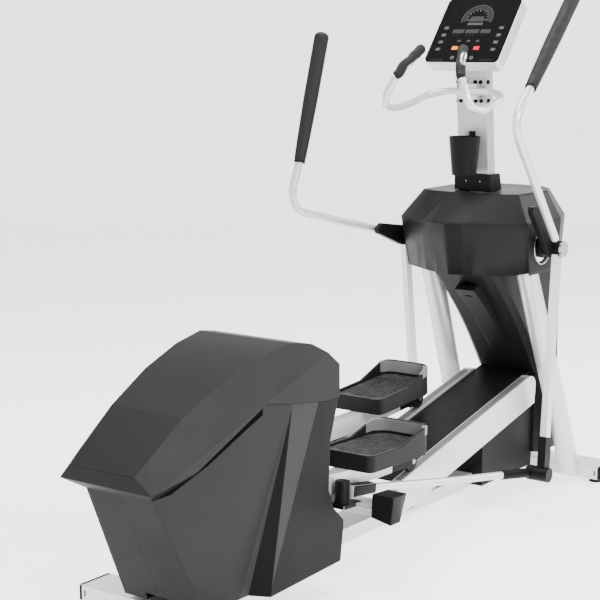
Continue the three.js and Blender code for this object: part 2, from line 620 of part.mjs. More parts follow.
function sideCovers() {
  const outer = cut(join(block(slantedCorners, 0), block(uprightCorners, 0)), hollow(0));
  const inner = cut(
    join(block(slantedCorners, shell.wall), block(uprightCorners, shell.wall)), hollow(shell.wall));
  const slots = SIDES.map(({ sign }) => {
    const y = sign * pedalArm.middle;
    return box(-600, -300, y - shell.slotWidth / 2, y + shell.slotWidth / 2, shell.slotLow, shell.slotHigh);
  });
  const beamPassage = box(-1200, -300, -beam.half - 2, beam.half + 2, beam.bottom - 20, beamTop + 2);
  const driveOpening = block(slantedCorners, 25, 60);
  return cut(outer, inner, driveOpening, aboveArch(block(hoodCorners, -GAP), GAP), ...slots, beamPassage);
}

// The space above an arch, which leaves the crown a lip over the side covers.
function aboveArch(solid, drop) {
  return cut(solid, plateAlongY(outline([
    [-1300, 547 - drop], [-1300, 0], [-300, 0], [-300, 590 - drop], [-480, 590 - drop], [-640, 611 - drop],
    [-735, 630 - drop], [-1122, 432 - drop],
  ]), -400, 400));
}

part("rear_crown", aboveArch(cut(block(hoodCorners, 0), block(hoodCorners, shell.wall)), 0), charcoal);
const covers = sideCovers();
const sideBlock = box(-1400, 0, GAP / 2, 400, 0, 1000);
for (const side of SIDES) part(`rear_cover_${side.name}`, onSide(common(covers, sideBlock), side), charcoal);

// ---------------------------------------------------------------- drive inside the rear housing

function drivePlate() {
  const base = beamTop + GAP;
  const shape = outline([
    [crank.x - 90, base], [crank.x + 200, base], [flywheel.x + 60, flywheel.z - 40],
    [flywheel.x + 30, flywheel.z + 36], [flywheel.x - 30, flywheel.z + 36], [crank.x - 50, crank.z + 40],
  ]);
  const plate = plateAlongY(shape, drive.plateGap, drive.plateGap + drive.plate);
  const bores = [
    discAlongY(crank.x, crank.z, crank.axleRadius + GAP, 0, 90, 24),
    discAlongY(flywheel.x, flywheel.z, flywheel.axleRadius + GAP, 0, 90, 20),
  ];
  return cut(plate, ...bores);
}
const driveFoot = box(crank.x - 90, crank.x + 200, -drive.plateGap - 1, drive.plateGap + 1,
  beamTop + GAP, beamTop + GAP + 8);
part("drive_frame", join(pair(drivePlate()), driveFoot), steel);

// The crank arms stop short of the pedal arms, so each pair passes with a side clearance.
const crankGroup = new THREE.Group();
crankGroup.position.set(crank.x, 0, crank.z);
machine.add(crankGroup);
const axleEnd = crankArm.inner + crank.armThickness;
const armShape = (sign) => {
  const shape = new THREE.Shape();
  const r = crank.armWidth / 2;
  shape.absarc(0, 0, r, sign > 0 ? Math.PI / 2 : -Math.PI / 2, sign > 0 ? 1.5 * Math.PI : Math.PI / 2, false);
  shape.absarc(sign * crank.radius, 0, r * 0.8, sign > 0 ? -Math.PI / 2 : Math.PI / 2, sign > 0 ? Math.PI / 2 : 1.5 * Math.PI, false);
  return shape;
};
function crankSide({ sign }) {
  const [y0, y1] = sign > 0 ? [crankArm.inner, axleEnd] : [-axleEnd, -crankArm.inner];
  const arm = plateAlongY(armShape(sign), y0, y1, { curveSegments: 12 });
  const pinX = sign * crank.radius;
  const outer = sign * (axleEnd + crankArm.pinReach);
  return join(arm, rodBetween([pinX, sign * (axleEnd - 2), 0], [pinX, outer, 0], crankArm.pinRadius, 20));
}
const axleBody = discAlongY(0, 0, crank.axleRadius, -crankArm.inner - 1, crankArm.inner + 1, 24);
part("crank_set", join(axleBody, ...SIDES.map(crankSide)), steel, crankGroup);

const [pulleyLow, pulleyHigh] = [drive.pulleyY - drive.pulleyWidth / 2, drive.pulleyY + drive.pulleyWidth / 2];
const pulleyBody = cut(
  discAlongY(0, 0, drive.pulleyRadius, pulleyLow, pulleyHigh, 40),
  discAlongY(0, 0, crank.axleRadius + GAP, pulleyLow - 5, pulleyHigh + 5, 24),
  ...[0, 1, 2, 3, 4].map((i) => discAlongY(
    92 * Math.cos(degrees(72 * i + 20)), 92 * Math.sin(degrees(72 * i + 20)), 30, pulleyLow - 5, pulleyHigh + 5, 14)),
);
part("drive_pulley", pulleyBody, blackPlastic, crankGroup);

const wheelGroup = new THREE.Group();
wheelGroup.position.set(flywheel.x, 0, flywheel.z);
machine.add(wheelGroup);
const axleHalf = drive.plateGap + drive.plate + 3;
part("flywheel", join(
  discAlongY(0, 0, flywheel.radius, flywheel.y - flywheel.width / 2, flywheel.y + flywheel.width / 2, 48),
  discAlongY(0, 0, flywheel.pulleyRadius, pulleyLow, pulleyHigh, 28),
  discAlongY(0, 0, flywheel.axleRadius, -axleHalf, axleHalf, 20),
), steel, wheelGroup);

// The belt wraps both pulleys: two arcs joined by their common outer tangents.
function beltLoop(grow) {
  const [dx, dz] = [flywheel.x - crank.x, flywheel.z - crank.z];
  const axis = Math.atan2(dz, dx);
  const spread = Math.acos((drive.pulleyRadius - flywheel.pulleyRadius) / Math.hypot(dx, dz));
  const shape = new THREE.Shape();
  shape.absarc(crank.x, crank.z, drive.pulleyRadius + grow, axis + spread, axis - spread + 2 * Math.PI, false);
  shape.absarc(flywheel.x, flywheel.z, flywheel.pulleyRadius + grow, axis - spread, axis + spread, false);
  return shape;
}
const beltOuter = plateAlongY(beltLoop(belt.clearance + belt.thickness), drive.pulleyY - belt.width / 2,
  drive.pulleyY + belt.width / 2, { curveSegments: 16 });
const beltInner = plateAlongY(
  beltLoop(belt.clearance), drive.pulleyY - 40, drive.pulleyY + 40, { curveSegments: 16 });
part("drive_belt", cut(beltOuter, beltInner), rubber);

// The brake is a magnet yoke that straddles the flywheel's rim.
function brakeYoke() {
  const [x, z] = [flywheel.x - flywheel.radius + 10, flywheel.z + 20];
  const body = box(x - 46, x + 26, -8, 47, z - 28, z + 28);
  const rim = discAlongY(flywheel.x, flywheel.z, flywheel.radius + 4,
    flywheel.y - flywheel.width / 2 - 4, flywheel.y + flywheel.width / 2 + 4, 48);
  return cut(body, rim);
}
part("brake_magnet", brakeYoke(), blackPlastic);

// ---------------------------------------------------------------- pedal arms, pedals and rollers

// Arm frame: origin on the roller axle, x forward along the arm, z up. The crank pin is at x = -length.
function armBar() {
  const { middle, width, length, depth, frontDepth, taper, front } = pedalArm;
  const shape = new THREE.Shape();
  shape.absarc(-length, 0, depth / 2, Math.PI / 2, 1.5 * Math.PI, false);
  shape.lineTo(taper, -depth / 2);
  shape.lineTo(front, -frontDepth / 2);
  shape.lineTo(front, depth / 2);
  const bar = plateAlongY(shape, middle - width / 2, middle + width / 2, { curveSegments: 12 });
  const pinBore = discAlongY(-length, 0, crankArm.pinRadius + 4, middle - 60, middle + 60, 20);
  const { x, z, width: w, thickness: t, outer } = outrigger;
  const wing = box(x - w / 2, x + w / 2, middle, outer, z, z + t);
  const drop = box(x - w / 2, x + w / 2, middle - width / 2, middle + width / 2, z, -depth / 2 + 2);
  const reach = rodAnchor.radius + rodAnchor.margin;
  const seat = box(rodAnchor.x - reach, x, middle, rodAnchor.y + reach, z, z + t);
  const drum = rodBetween([rodAnchor.x, rodAnchor.y, z + t - 1], [rodAnchor.x, rodAnchor.y, z + t + rodAnchor.height],
    rodAnchor.radius, 24, rodAnchor.radius - 3);
  const flat = middle - width / 2 + armEnd.width;
  const relief = box(-length - depth, armEnd.reach - length, flat, middle + width, -depth, depth);
  return join(cut(bar, pinBore, relief), wing, seat, drop, drum);
}

// Two cheeks carry the roller; a bridge joins them to the front of the arm.
function rollerFork() {
  const gap = roller.width / 2 + roller.cheekGap;
  const [y0, y1] = [rail.middle + gap, rail.middle + gap + roller.cheek];
  const start = pedalArm.front + 1;
  const shape = new THREE.Shape();
  shape.moveTo(start, pedalArm.depth / 2);
  shape.lineTo(start, -pedalArm.frontDepth / 2);
  shape.lineTo(start + 40, -14);
  shape.absarc(0, 0, 17, -Math.PI / 2, Math.PI / 2, false);
  shape.lineTo(-40, 22);
  const cheek = plateAlongY(shape, y0, y1, { curveSegments: 8 });
  const other = plateAlongY(shape, rail.middle - gap - roller.cheek, rail.middle - gap, { curveSegments: 8 });
  const bridge = box(start, -roller.radius - 12, rail.middle - gap - 1, rail.middle + gap + 1, -8, 20);
  const bore = discAlongY(0, 0, roller.axleRadius + GAP, 0, 300, 20);
  return cut(join(cheek, other, bridge), bore);
}

// A faceted cover closes the outer end of the outrigger.
function outriggerCap() {
  const w = outriggerCover;
  const y0 = outrigger.outer + GAP;
  const low = w.bottom;
  const cover = loft([
    [[-w.length / 2, y0, low + 14], [w.length / 2 - 10, y0, low + 30], [w.length / 2 - 10, y0 + w.width - 14, low + 26],
      [0, y0 + w.width, low + 6], [-w.length / 2, y0 + w.width - 6, low]],
    [[-w.length / 2, y0, low + w.height], [w.length / 2, y0, low + w.height], [w.length / 2, y0 + w.width - 8, low + w.height],
      [0, y0 + w.width, low + w.height], [-w.length / 2, y0 + w.width, low + w.height]],
  ]);
  return at(cover, outrigger.x + 14, 0, 0);
}

// The pedal is a tray: a floor, a low wall all round and a taller rim across the toe.
function pedalPlan(inset) {
  const l = pedal.length / 2 - inset;
  const w = pedal.width / 2 - inset;
  const round = 26 - inset / 2;
  const shape = new THREE.Shape();
  shape.moveTo(-l + round, -w);
  shape.lineTo(l - 70, -w);
  shape.quadraticCurveTo(l, -w + 4, l, -w + 52);
  shape.lineTo(l, w - 40);
  shape.quadraticCurveTo(l, w, l - 34, w);
  shape.lineTo(-l + round, w);
  shape.quadraticCurveTo(-l, w, -l, w - round);
  shape.lineTo(-l, -w + round);
  shape.quadraticCurveTo(-l, -w, -l + round, -w);
  return shape;
}

function pedalTray() {
  const { depth, wall, floor, rimHeight, rimLength, length } = pedal;
  const tall = depth + rimHeight;
  const body = plateAlongZ(pedalPlan(0), 0, tall, { curveSegments: 6 });
  const hollow = plateAlongZ(pedalPlan(wall), floor, tall + 20, { curveSegments: 6 });
  const l = length / 2;
  const above = plateAlongY(outline([
    [-l - 10, depth], [l - rimLength - 40, depth], [l - 30, tall - 6], [l + 10, tall], [l + 10, tall + 40], [-l - 10, tall + 40],
  ]), -200, 200);
  return cut(body, hollow, above);
}

function pedalMat() {
  const { wall, floor } = pedal;
  return plateAlongZ(pedalPlan(wall + 1), floor + GAP, floor + mat.thickness, { curveSegments: 6 });
}

// ---------------------------------------------------------------- handlebars and swing arms

// Handle frame: origin on the pivot axis, x forward and z up with the lower bar hanging straight down.
const gripBottom = [-465, 365, 445];
const gripTop = [-238, 354, 823];
const bend = [-564, 372, 312];
const tubeStart = [-46, hub.outer - 6, 26];
const lowerJoint = { x: -2, z: -763, inner: rod.front + rod.eyeWidth + 2, outer: 402, radius: 25 };

function handleTube() {
  const end = new THREE.Vector3(...gripBottom);
  const back = new THREE.Vector3(...bend).sub(end).setLength(2);
  return tubeAlong(roundedPath([tubeStart, bend, end.add(back).toArray()], handle.bendRadius), handle.tubeRadius, 28, 10);
}

// The grip widens towards its rounded top: a lathe stood on the tube's end.
function handleGrip() {
  const from = new THREE.Vector3(...gripBottom);
  const along = new THREE.Vector3(...gripTop).sub(from);
  const length = along.length();
  const [r0, r1] = [handle.gripLow, handle.gripHigh];
  const profile = [[0, 0], [r0 - 2, 0], [r0, 4], [r0 + (r1 - r0) * 0.6, length * 0.5], [r1, length * 0.85]];
  for (let i = 0; i <= 4; i++)
    profile.push([r1 * Math.cos((i * Math.PI) / 8), length - r1 * 0.7 * (1 - Math.sin((i * Math.PI) / 8))]);
  profile.at(-1)[0] = 0;
  const grip = new THREE.LatheGeometry(profile.map(([r, z]) => new THREE.Vector2(r, z)), 20);
  grip.applyQuaternion(new THREE.Quaternion().setFromUnitVectors(Y, along.normalize()));
  return at(grip, ...gripBottom);
}

// A cast hub on the pivot shaft with a tapering fin along the inner side of the tube.
function handleBracket() {
  const direction = Math.atan2(bend[2] - tubeStart[2], bend[0] - tubeStart[0]);
  const [c, s] = [Math.cos(direction), Math.sin(direction)];
  const fin = outline([[-24, 30], [40, 34], [200, 20], [224, -4], [214, -18], [60, -38], [-10, -32]].map(([t, n]) => [
    t * c + n * s, t * s - n * c,
  ]).reverse());
  const inner = hub.outer - 44;
  const plate = plateAlongY(fin, inner, inner + 18);
  const ring = discAlongY(0, 0, hub.radius, hub.inner, hub.outer, 32);
  const bore = discAlongY(0, 0, pivot.shaftRadius + GAP, hub.inner - 20, hub.outer + 20, 24);
  const body = cut(join(plate, ring), bore);
  return cut(body, tubeClear());
}
const tubeClear = () => tubeAlong(
  roundedPath([tubeStart, bend, gripBottom], handle.bendRadius), handle.tubeRadius + GAP, 28, 10);

// The lower bar hangs from the hub and splays outward to the rod joint.
const barSection = (x, y, z) => [
  [x - swing.barWidth / 2, y - swing.barDepth / 2, z], [x + swing.barWidth / 2, y - swing.barDepth / 2, z],
  [x + swing.barWidth / 2, y + swing.barDepth / 2, z], [x - swing.barWidth / 2, y + swing.barDepth / 2, z],
];
const bootTop = -640;
const barY = (z) => hub.outer - 14 + ((z + 20) / (lowerJoint.z + 20)) * (377 - hub.outer + 14);
function swingBar() {
  const bar = loft([barSection(0, barY(bootTop + GAP), bootTop + GAP), barSection(0, barY(-hub.radius + 4), -hub.radius + 4)]);
  return cut(bar, discAlongY(0, 0, hub.radius + GAP, 200, 500, 32));
}

function swingBoot() {
  const grow = 3;
  const ring = (z) => barSection(0, barY(z), z).map(([x, y, h], i) => [
    x + (i === 1 || i === 2 ? grow : -grow), y + (i > 1 ? grow : -grow), h]);
  const boot = loft([ring(lowerJoint.z), ring(bootTop)]);
  const barrel = rodBetween([lowerJoint.x, lowerJoint.inner, lowerJoint.z],
    [lowerJoint.x, lowerJoint.outer, lowerJoint.z], lowerJoint.radius, 28);
  return join(boot, barrel);
}

// ---------------------------------------------------------------- pull rods

// Rod frame: origin on the rear pivot, x towards the front eye, which stands beside the swing arm's barrel.
// A socket on the rear end stops beside the drum, with room to swivel.
function pullRod(length) {
  const { front, radius, eyeRadius, eyeWidth, socketEnd } = rod;
  const y = rodAnchor.y + 4;
  const points = [
    [socketEnd - 6, y, 0], [socketEnd + 120, y + 17, -4], [length * 0.6, y + 66, -8], [length - 170, y + 102, -7],
    [length - 80, front + eyeWidth / 2 - 26, -3], [length - eyeRadius + 6, front + eyeWidth / 2, 0],
  ];
  const eye = discAlongY(length, 0, eyeRadius, front, front + eyeWidth, 28);
  const seat = rodAnchor.radius + 5;
  const socket = outline([[seat, -17], [socketEnd, -15], [socketEnd, 15], [seat, 19]]);
  return join(bentTube(points, radius, 20, 10), eye, plateAlongY(socket, rodAnchor.y - 17, rodAnchor.y + 21));
}

function pedalSide(side, pinX) {
  const place = rollerPlace(pinX);
  const tilt = Math.atan2(place.z - crank.z, place.x - pinX);
  const carriage = new THREE.Group();
  carriage.position.set(place.x, 0, place.z);
  machine.add(carriage);
  const label = (name) => `${name}_${side.name}`;
  const cheek = roller.width / 2 + roller.cheekGap + roller.cheek;
  part(label("roller_axle"), onSide(discAlongY(
    0, 0, roller.axleRadius, rail.middle - cheek - 2, rail.middle + cheek + 2, 20), side), steel, carriage);
  const rollerBody = cut(
    discAlongY(0, 0, roller.radius, rail.middle - roller.width / 2, rail.middle + roller.width / 2, 32),
    discAlongY(0, 0, roller.axleRadius + GAP, 0, 300, 20));
  part(label("roller"), onSide(rollerBody, side), rubber, carriage);

  const arm = new THREE.Group();
  arm.rotation.y = -tilt;
  carriage.add(arm);
  part(label("pedal_arm"), onSide(armBar(), side), pearlPaint, arm);
  part(label("roller_fork"), onSide(rollerFork(), side), blackPlastic, arm);
  part(label("outrigger_cover"), onSide(outriggerCap(), side), blackPlastic, arm);

  const tray = new THREE.Group();
  tray.position.set(pedalPlace.middle, side.sign * pedalArm.middle, pedalArm.depth / 2 + pedalPlace.lift + 5);
  tray.rotation.y = -pedalPlace.tilt;
  arm.add(tray);
  part(label("pedal"), onSide(pedalTray(), side), charcoal, tray);
  part(label("pedal_mat"), onSide(pedalMat(), side), rubber, tray);
  return { arm, place, tilt };
}

function handleSide(side, angle) {
  const group = new THREE.Group();
  group.position.set(pivot.x, 0, pivot.z);
  group.rotation.y = -angle;
  machine.add(group);
  const label = (name) => `${name}_${side.name}`;
  part(label("handle_tube"), onSide(handleTube(), side), pearlPaint, group);
  part(label("handle_grip"), onSide(handleGrip(), side), rubber, group);
  part(label("handle_bracket"), onSide(handleBracket(), side), blackPlastic, group);
  part(label("swing_arm"), onSide(swingBar(), side), pearlPaint, group);
  part(label("swing_boot"), onSide(swingBoot(), side), blackPlastic, group);
  const turned = (x, z) => [
    pivot.x + x * Math.cos(angle) - z * Math.sin(angle),
    pivot.z + x * Math.sin(angle) + z * Math.cos(angle),
  ];
  return turned(lowerJoint.x, lowerJoint.z);
}

// The rod points from its anchor on the pedal arm to the swing arm's lower joint.
function rodSide(side, pedalPlaced, [jointX, jointZ]) {
  const { place, tilt } = pedalPlaced;
  const { x: ax, z: az } = rodAnchor;
  const x = place.x + ax * Math.cos(tilt) - az * Math.sin(tilt);
  const z = place.z + ax * Math.sin(tilt) + az * Math.cos(tilt);
  const group = new THREE.Group();
  group.position.set(x, 0, z);
  group.rotation.y = -Math.atan2(jointZ - z, jointX - x);
  machine.add(group);
  part(`pull_rod_${side.name}`, onSide(pullRod(Math.hypot(jointX - x, jointZ - z)), side), pearlPaint, group);
}

for (const side of SIDES) {
  const pinX = crank.x + side.sign * crank.radius;
  const placed = pedalSide(side, pinX);
  const joint = handleSide(side, side.sign > 0 ? swing.leftRest : swing.rightRest);
  rodSide(side, placed, joint);
}

// The origin sits under the middle of the whole machine's length.
const bounds = new THREE.Box3().setFromObject(machine);
machine.position.x = -(bounds.min.x + bounds.max.x) / 2;

export default machine;
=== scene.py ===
"""Looks for a packed elliptical trainer: materials, soft grips and mats, console print, trims and stage.

Units are metres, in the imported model's own frame: +X forward, +Y left, +Z up.
"""

import json
import math

import bmesh
import bpy
from mathutils import Matrix, Vector

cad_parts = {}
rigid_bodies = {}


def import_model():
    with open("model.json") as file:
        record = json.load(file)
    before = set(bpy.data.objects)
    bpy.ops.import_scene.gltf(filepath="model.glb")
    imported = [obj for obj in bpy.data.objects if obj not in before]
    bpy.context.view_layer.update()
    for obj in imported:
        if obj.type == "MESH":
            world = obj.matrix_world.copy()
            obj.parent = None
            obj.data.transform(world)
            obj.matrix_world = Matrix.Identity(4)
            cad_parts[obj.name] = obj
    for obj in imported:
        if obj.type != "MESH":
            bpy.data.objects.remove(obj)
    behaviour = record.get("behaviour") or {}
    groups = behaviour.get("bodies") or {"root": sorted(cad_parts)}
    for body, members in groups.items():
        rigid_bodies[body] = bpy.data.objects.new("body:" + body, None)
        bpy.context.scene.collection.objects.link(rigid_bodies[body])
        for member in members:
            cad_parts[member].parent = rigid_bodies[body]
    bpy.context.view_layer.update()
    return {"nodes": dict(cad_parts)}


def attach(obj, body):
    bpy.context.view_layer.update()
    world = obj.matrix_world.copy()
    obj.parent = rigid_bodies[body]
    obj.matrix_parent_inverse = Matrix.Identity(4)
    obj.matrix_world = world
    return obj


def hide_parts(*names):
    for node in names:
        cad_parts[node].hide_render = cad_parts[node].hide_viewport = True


bl_info = {
    "name": "Elliptical Trainer Looks",
    "version": (1, 0, 0),
    "blender": (4, 5, 0),
    "location": "View3D > Sidebar > Trainer",
    "description": "Materials, soft pieces and fittings for a packed elliptical trainer",
    "category": "Object",
}

SIDES = (("left", 1), ("right", -1))

for stale in list(bpy.data.objects):
    bpy.data.objects.remove(stale)
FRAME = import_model()


# ------------------------------------------------------------------ frames


def pitched(x, z, degrees, y=0.0):
    """A frame at (x, y, z) whose X axis is raised by an angle."""
    return Matrix.Translation((x, y, z)) @ Matrix.Rotation(-math.radians(degrees), 4, "Y")


PIVOT_X, PIVOT_Z = 0.755, 0.903
HANDLE = {"right": pitched(PIVOT_X, PIVOT_Z, -15.43), "left": pitched(PIVOT_X, PIVOT_Z, 15.85)}
PEDAL = {
    "right": pitched(-0.086504, 0.321167, -1.509, -0.12),
    "left": pitched(0.332241, 0.397763, 3.458, 0.12),
}
ARM = {"right": pitched(0.1173323, 0.2687866, -4.00942), "left": pitched(0.5398475, 0.36323, 0.9583)}
ROD = {"right": pitched(-0.332965, 0.2803, -7.2456), "left": pitched(0.090245, 0.335707, -10.8666)}
ROD_LENGTH = {"right": 0.8901, "left": 0.8871}
CONSOLE_TILT = math.radians(39)
CONSOLE = Matrix((
    (0, math.sin(CONSOLE_TILT), -math.cos(CONSOLE_TILT), 0.602),
    (-1, 0, 0, 0),
    (0, math.cos(CONSOLE_TILT), math.sin(CONSOLE_TILT), 1.528),
    (0, 0, 0, 1),
))
RAMP = pitched(0.128, 0.235, 12.6)
RAIL_MIDDLE = 0.1185
MAST_DEGREES = 4.9
MAST_LEAN = math.tan(math.radians(MAST_DEGREES))
MAST_REAR_X, MAST_REAR_Z = 0.712, 1.138
PEDAL_LENGTH, PEDAL_WIDTH = 0.336, 0.200
HOUSING_SILL, HOUSING_LIP = (-0.944, 0.080), (-1.124, 0.446)


def mast_rear(z):
    """Where the mast's leaning rear face stands at a height."""
    return MAST_REAR_X - (z - MAST_REAR_Z) * MAST_LEAN


# ------------------------------------------------------------------ mesh helpers


def mesh_object(name, bm, material, body, bevel=0.0, segments=2, smooth=True):
    """Turns a bmesh into a piece that rides on a body."""
    bmesh.ops.remove_doubles(bm, verts=bm.verts, dist=1e-6)
    bmesh.ops.recalc_face_normals(bm, faces=bm.faces)
    mesh = bpy.data.meshes.new(name)
    bm.to_mesh(mesh)
    bm.free()
    for polygon in mesh.polygons:
        polygon.use_smooth = smooth
    obj = bpy.data.objects.new(name, mesh)
    bpy.context.scene.collection.objects.link(obj)
    mesh.materials.append(MATERIALS[material])
    if bevel:
        modifier = obj.modifiers.new("Rounded edges", "BEVEL")
        modifier.width, modifier.segments = bevel, segments
        modifier.limit_method, modifier.angle_limit = "ANGLE", math.radians(32)
        modifier.harden_normals = smooth
    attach(obj, body)
    return obj


def add_loft(bm, rings, frame=None):
    """Adds a skin through rings of points, with a cap on each end."""
    frame = frame or Matrix.Identity(4)
    made = [[bm.verts.new(frame @ Vector(p)) for p in ring] for ring in rings]
    for low, high in zip(made, made[1:]):
        for i in range(len(low)):
            j = (i + 1) % len(low)
            bm.faces.new((low[i], low[j], high[j], high[i]))
    bm.faces.new(made[0][::-1])
    bm.faces.new(made[-1])


def lofted(name, rings, material, body, frame=None, **finish):
    """A piece that is one skin through rings of points."""
    bm = bmesh.new()
    add_loft(bm, rings, frame)
    return mesh_object(name, bm, material, body, **finish)


def add_prism(bm, outline, low, high, axis="Z", frame=None):
    """Adds an outline drawn out along one axis."""
    place = {
        "X": lambda p, h: (h, p[0], p[1]),
        "Y": lambda p, h: (p[0], h, p[1]),
        "Z": lambda p, h: (p[0], p[1], h),
    }[axis]
    add_loft(bm, [[place(p, h) for p in outline] for h in (low, high)], frame)


def rounded_box(width, height, radius, u=0.0, v=0.0, steps=5):
    """A rounded rectangle's outline about (u, v)."""
    points = []
    for k, (su, sv) in enumerate(((1, 1), (-1, 1), (-1, -1), (1, -1))):
        for i in range(steps + 1):
            a = (k + i / steps) * math.pi / 2
            points.append((
                u + su * (width / 2 - radius) + radius * math.cos(a),
                v + sv * (height / 2 - radius) + radius * math.sin(a),
            ))
    return points


def disc(radius, u=0.0, v=0.0, steps=24):
    turns = [2 * math.pi * i / steps for i in range(steps)]
    return [(u + radius * math.cos(a), v + radius * math.sin(a)) for a in turns]


def sector(inner, outer, start, end, u=0.0, v=0.0, steps=24):
    """The outline of a curved bar between two angles in degrees."""
    angles = [math.radians(start + (end - start) * i / steps) for i in range(steps + 1)]
    return ([(u + outer * math.cos(a), v + outer * math.sin(a)) for a in angles]
            + [(u + inner * math.cos(a), v + inner * math.sin(a)) for a in reversed(angles)])


def spline(points, count):
    """Points spaced along a Catmull-Rom curve through the given ones."""
    p = [Vector(q) for q in points]
    p = [p[0] * 2 - p[1], *p, p[-1] * 2 - p[-2]]
    out = []
    for i in range(count + 1):
        t = i / count * (len(p) - 3)
        k = min(int(t), len(p) - 4)
        t -= k
        a, b, c, d = p[k:k + 4]
        out.append(0.5 * ((2 * b) + (c - a) * t + (2 * a - 5 * b + 4 * c - d) * t * t
                          + (3 * b - a - 3 * c + d) * t ** 3))
    return out


def add_tube(bm, path, radii, sides=24, frame=None, squeeze=None):
    """Adds a tube along a path, with one radius or one a point; squeeze turns a ring's angle into a scale."""
    path = [Vector(p) for p in path]
    radii = [radii] * len(path) if isinstance(radii, (int, float)) else radii
    rings, normal = [], None
    for i, p in enumerate(path):
        tangent = (path[min(i + 1, len(path) - 1)] - path[max(i - 1, 0)]).normalized()
        if normal is None:
            normal = tangent.orthogonal().normalized()
        normal = (normal - tangent * normal.dot(tangent)).normalized()
        other = tangent.cross(normal)
        ring = []
        for k in range(sides):
            a = 2 * math.pi * k / sides
            r = radii[i] * (squeeze(a) if squeeze else 1)
            ring.append(p + normal * math.cos(a) * r + other * math.sin(a) * r)
        rings.append(ring)
    add_loft(bm, rings, frame)


# ------------------------------------------------------------------ node helpers


def connect(tree, made, inputs):
    """Links or sets a node's inputs, given by name or number."""
    for key, value in inputs.items():
        if isinstance(value, bpy.types.NodeSocket):
            tree.links.new(value, made.inputs[key])
        else:
            made.inputs[key].default_value = value


def node(tree, kind, inputs=None, **options):
    made = tree.nodes.new(kind)
    for key, value in options.items():
        setattr(made, key, value)
    connect(tree, made, inputs or {})
    return made


def math_node(tree, operation, a, b=None, clamp=False):
    inputs = {0: a} if b is None else {0: a, 1: b}
    return node(tree, "ShaderNodeMath", inputs, operation=operation, use_clamp=clamp).outputs[0]


def times(tree, a, b, clamp=False):
    return math_node(tree, "MULTIPLY", a, b, clamp)


def ramp(tree, value, low, high, to_low=0.0, to_high=1.0):
    return node(tree, "ShaderNodeMapRange", {
        "Value": value, "From Min": low, "From Max": high, "To Min": to_low, "To Max": to_high,
    }).outputs[0]


def mix_colour(tree, factor, a, b):
    return node(tree, "ShaderNodeMix", {0: factor, 6: a, 7: b}, data_type="RGBA").outputs[2]


def object_point(tree, scale=(1, 1, 1)):
    """Object coordinates times a vector."""
    coordinates = node(tree, "ShaderNodeTexCoord").outputs["Object"]
    return node(tree, "ShaderNodeVectorMath", {0: coordinates, 1: scale}, operation="MULTIPLY").outputs[0]


def coordinate(tree, kind, axis):
    """One axis of the object's own position ("Object") or normal ("Normal")."""
    whole = node(tree, "ShaderNodeTexCoord").outputs[kind]
    return node(tree, "ShaderNodeSeparateXYZ", {0: whole}).outputs[axis]


def noise(tree, point, scale, detail, **more):
    inputs = {"Vector": point, "Scale": scale, "Detail": detail, **more}
    return node(tree, "ShaderNodeTexNoise", inputs).outputs["Fac"]


def bump(tree, height, normal, strength, distance):
    inputs = {"Strength": strength, "Distance": distance, "Height": height, "Normal": normal}
    return node(tree, "ShaderNodeBump", inputs).outputs[0]


def new_group(name, inputs, outputs):
    """A shader node group with named float, vector or colour sockets."""
    tree = bpy.data.node_groups.new(name, "ShaderNodeTree")
    for label, kind, default in inputs:
        socket = tree.interface.new_socket(label, in_out="INPUT", socket_type="NodeSocket" + kind)
        socket.default_value = default
    for label, kind in outputs:
        tree.interface.new_socket(label, in_out="OUTPUT", socket_type="NodeSocket" + kind)
    return tree, tree.nodes.new("NodeGroupInput").outputs, tree.nodes.new("NodeGroupOutput").inputs


# ------------------------------------------------------------------ shared effects


def edge_wear_group():
    """Rounds sharp edges in the shading and gives a mask that is bright along them."""
    tree, given, out = new_group(
        "Edge Wear",
        [("Radius", "Float", 0.002), ("Strength", "Float", 0.5), ("Patch Scale", "Float", 60.0)],
        [("Mask", "Float"), ("Normal", "Vector")])
    rounded = node(tree, "ShaderNodeBevel", {"Radius": given["Radius"]}, samples=6).outputs[0]
    flat = node(tree, "ShaderNodeNewGeometry").outputs["Normal"]
    alike = node(tree, "ShaderNodeVectorMath", {0: rounded, 1: flat}, operation="DOT_PRODUCT")
    edge = ramp(tree, alike.outputs["Value"], 0.995, 0.80)
    patches = noise(tree, object_point(tree), given["Patch Scale"], 4.0)
    broken = times(tree, edge, ramp(tree, patches, 0.35, 0.65))
    tree.links.new(times(tree, broken, given["Strength"], clamp=True), out["Mask"])
    tree.links.new(rounded, out["Normal"])
    return tree


def moulded_grain_group():
    """Spark-eroded plastic grain: shallow cells under fine noise."""
    tree, given, out = new_group(
        "Moulded Grain",
        [("Scale", "Float", 900.0), ("Cloud Scale", "Float", 6.0)],
        [("Height", "Float"), ("Cloud", "Float")])
    point = object_point(tree)
    cells = node(tree, "ShaderNodeTexVoronoi", {
        "Vector": point, "Scale": given["Scale"], "Randomness": 1.0}, feature="SMOOTH_F1").outputs["Distance"]
    fine = noise(tree, point, times(tree, given["Scale"], 2.4), 2.0)
    height = math_node(tree, "ADD", times(tree, cells, 0.6), times(tree, fine, 0.4))
    tree.links.new(height, out["Height"])
    tree.links.new(noise(tree, point, given["Cloud Scale"], 5.0, Roughness=0.6), out["Cloud"])
    return tree


def brushed_group():
    """Fine lines stretched along one direction, as on drawn or ground steel."""
    tree, given, out = new_group(
        "Brushed Lines",
        [("Stretch", "Vector", (6.0, 900.0, 900.0)), ("Contrast", "Float", 0.5)],
        [("Height", "Float"), ("Streak", "Float")])
    lines = noise(tree, object_point(tree, given["Stretch"]), 1.0, 3.0)
    tree.links.new(times(tree, lines, given["Contrast"]), out["Height"])
    tree.links.new(ramp(tree, lines, 0.3, 0.7), out["Streak"])
    return tree


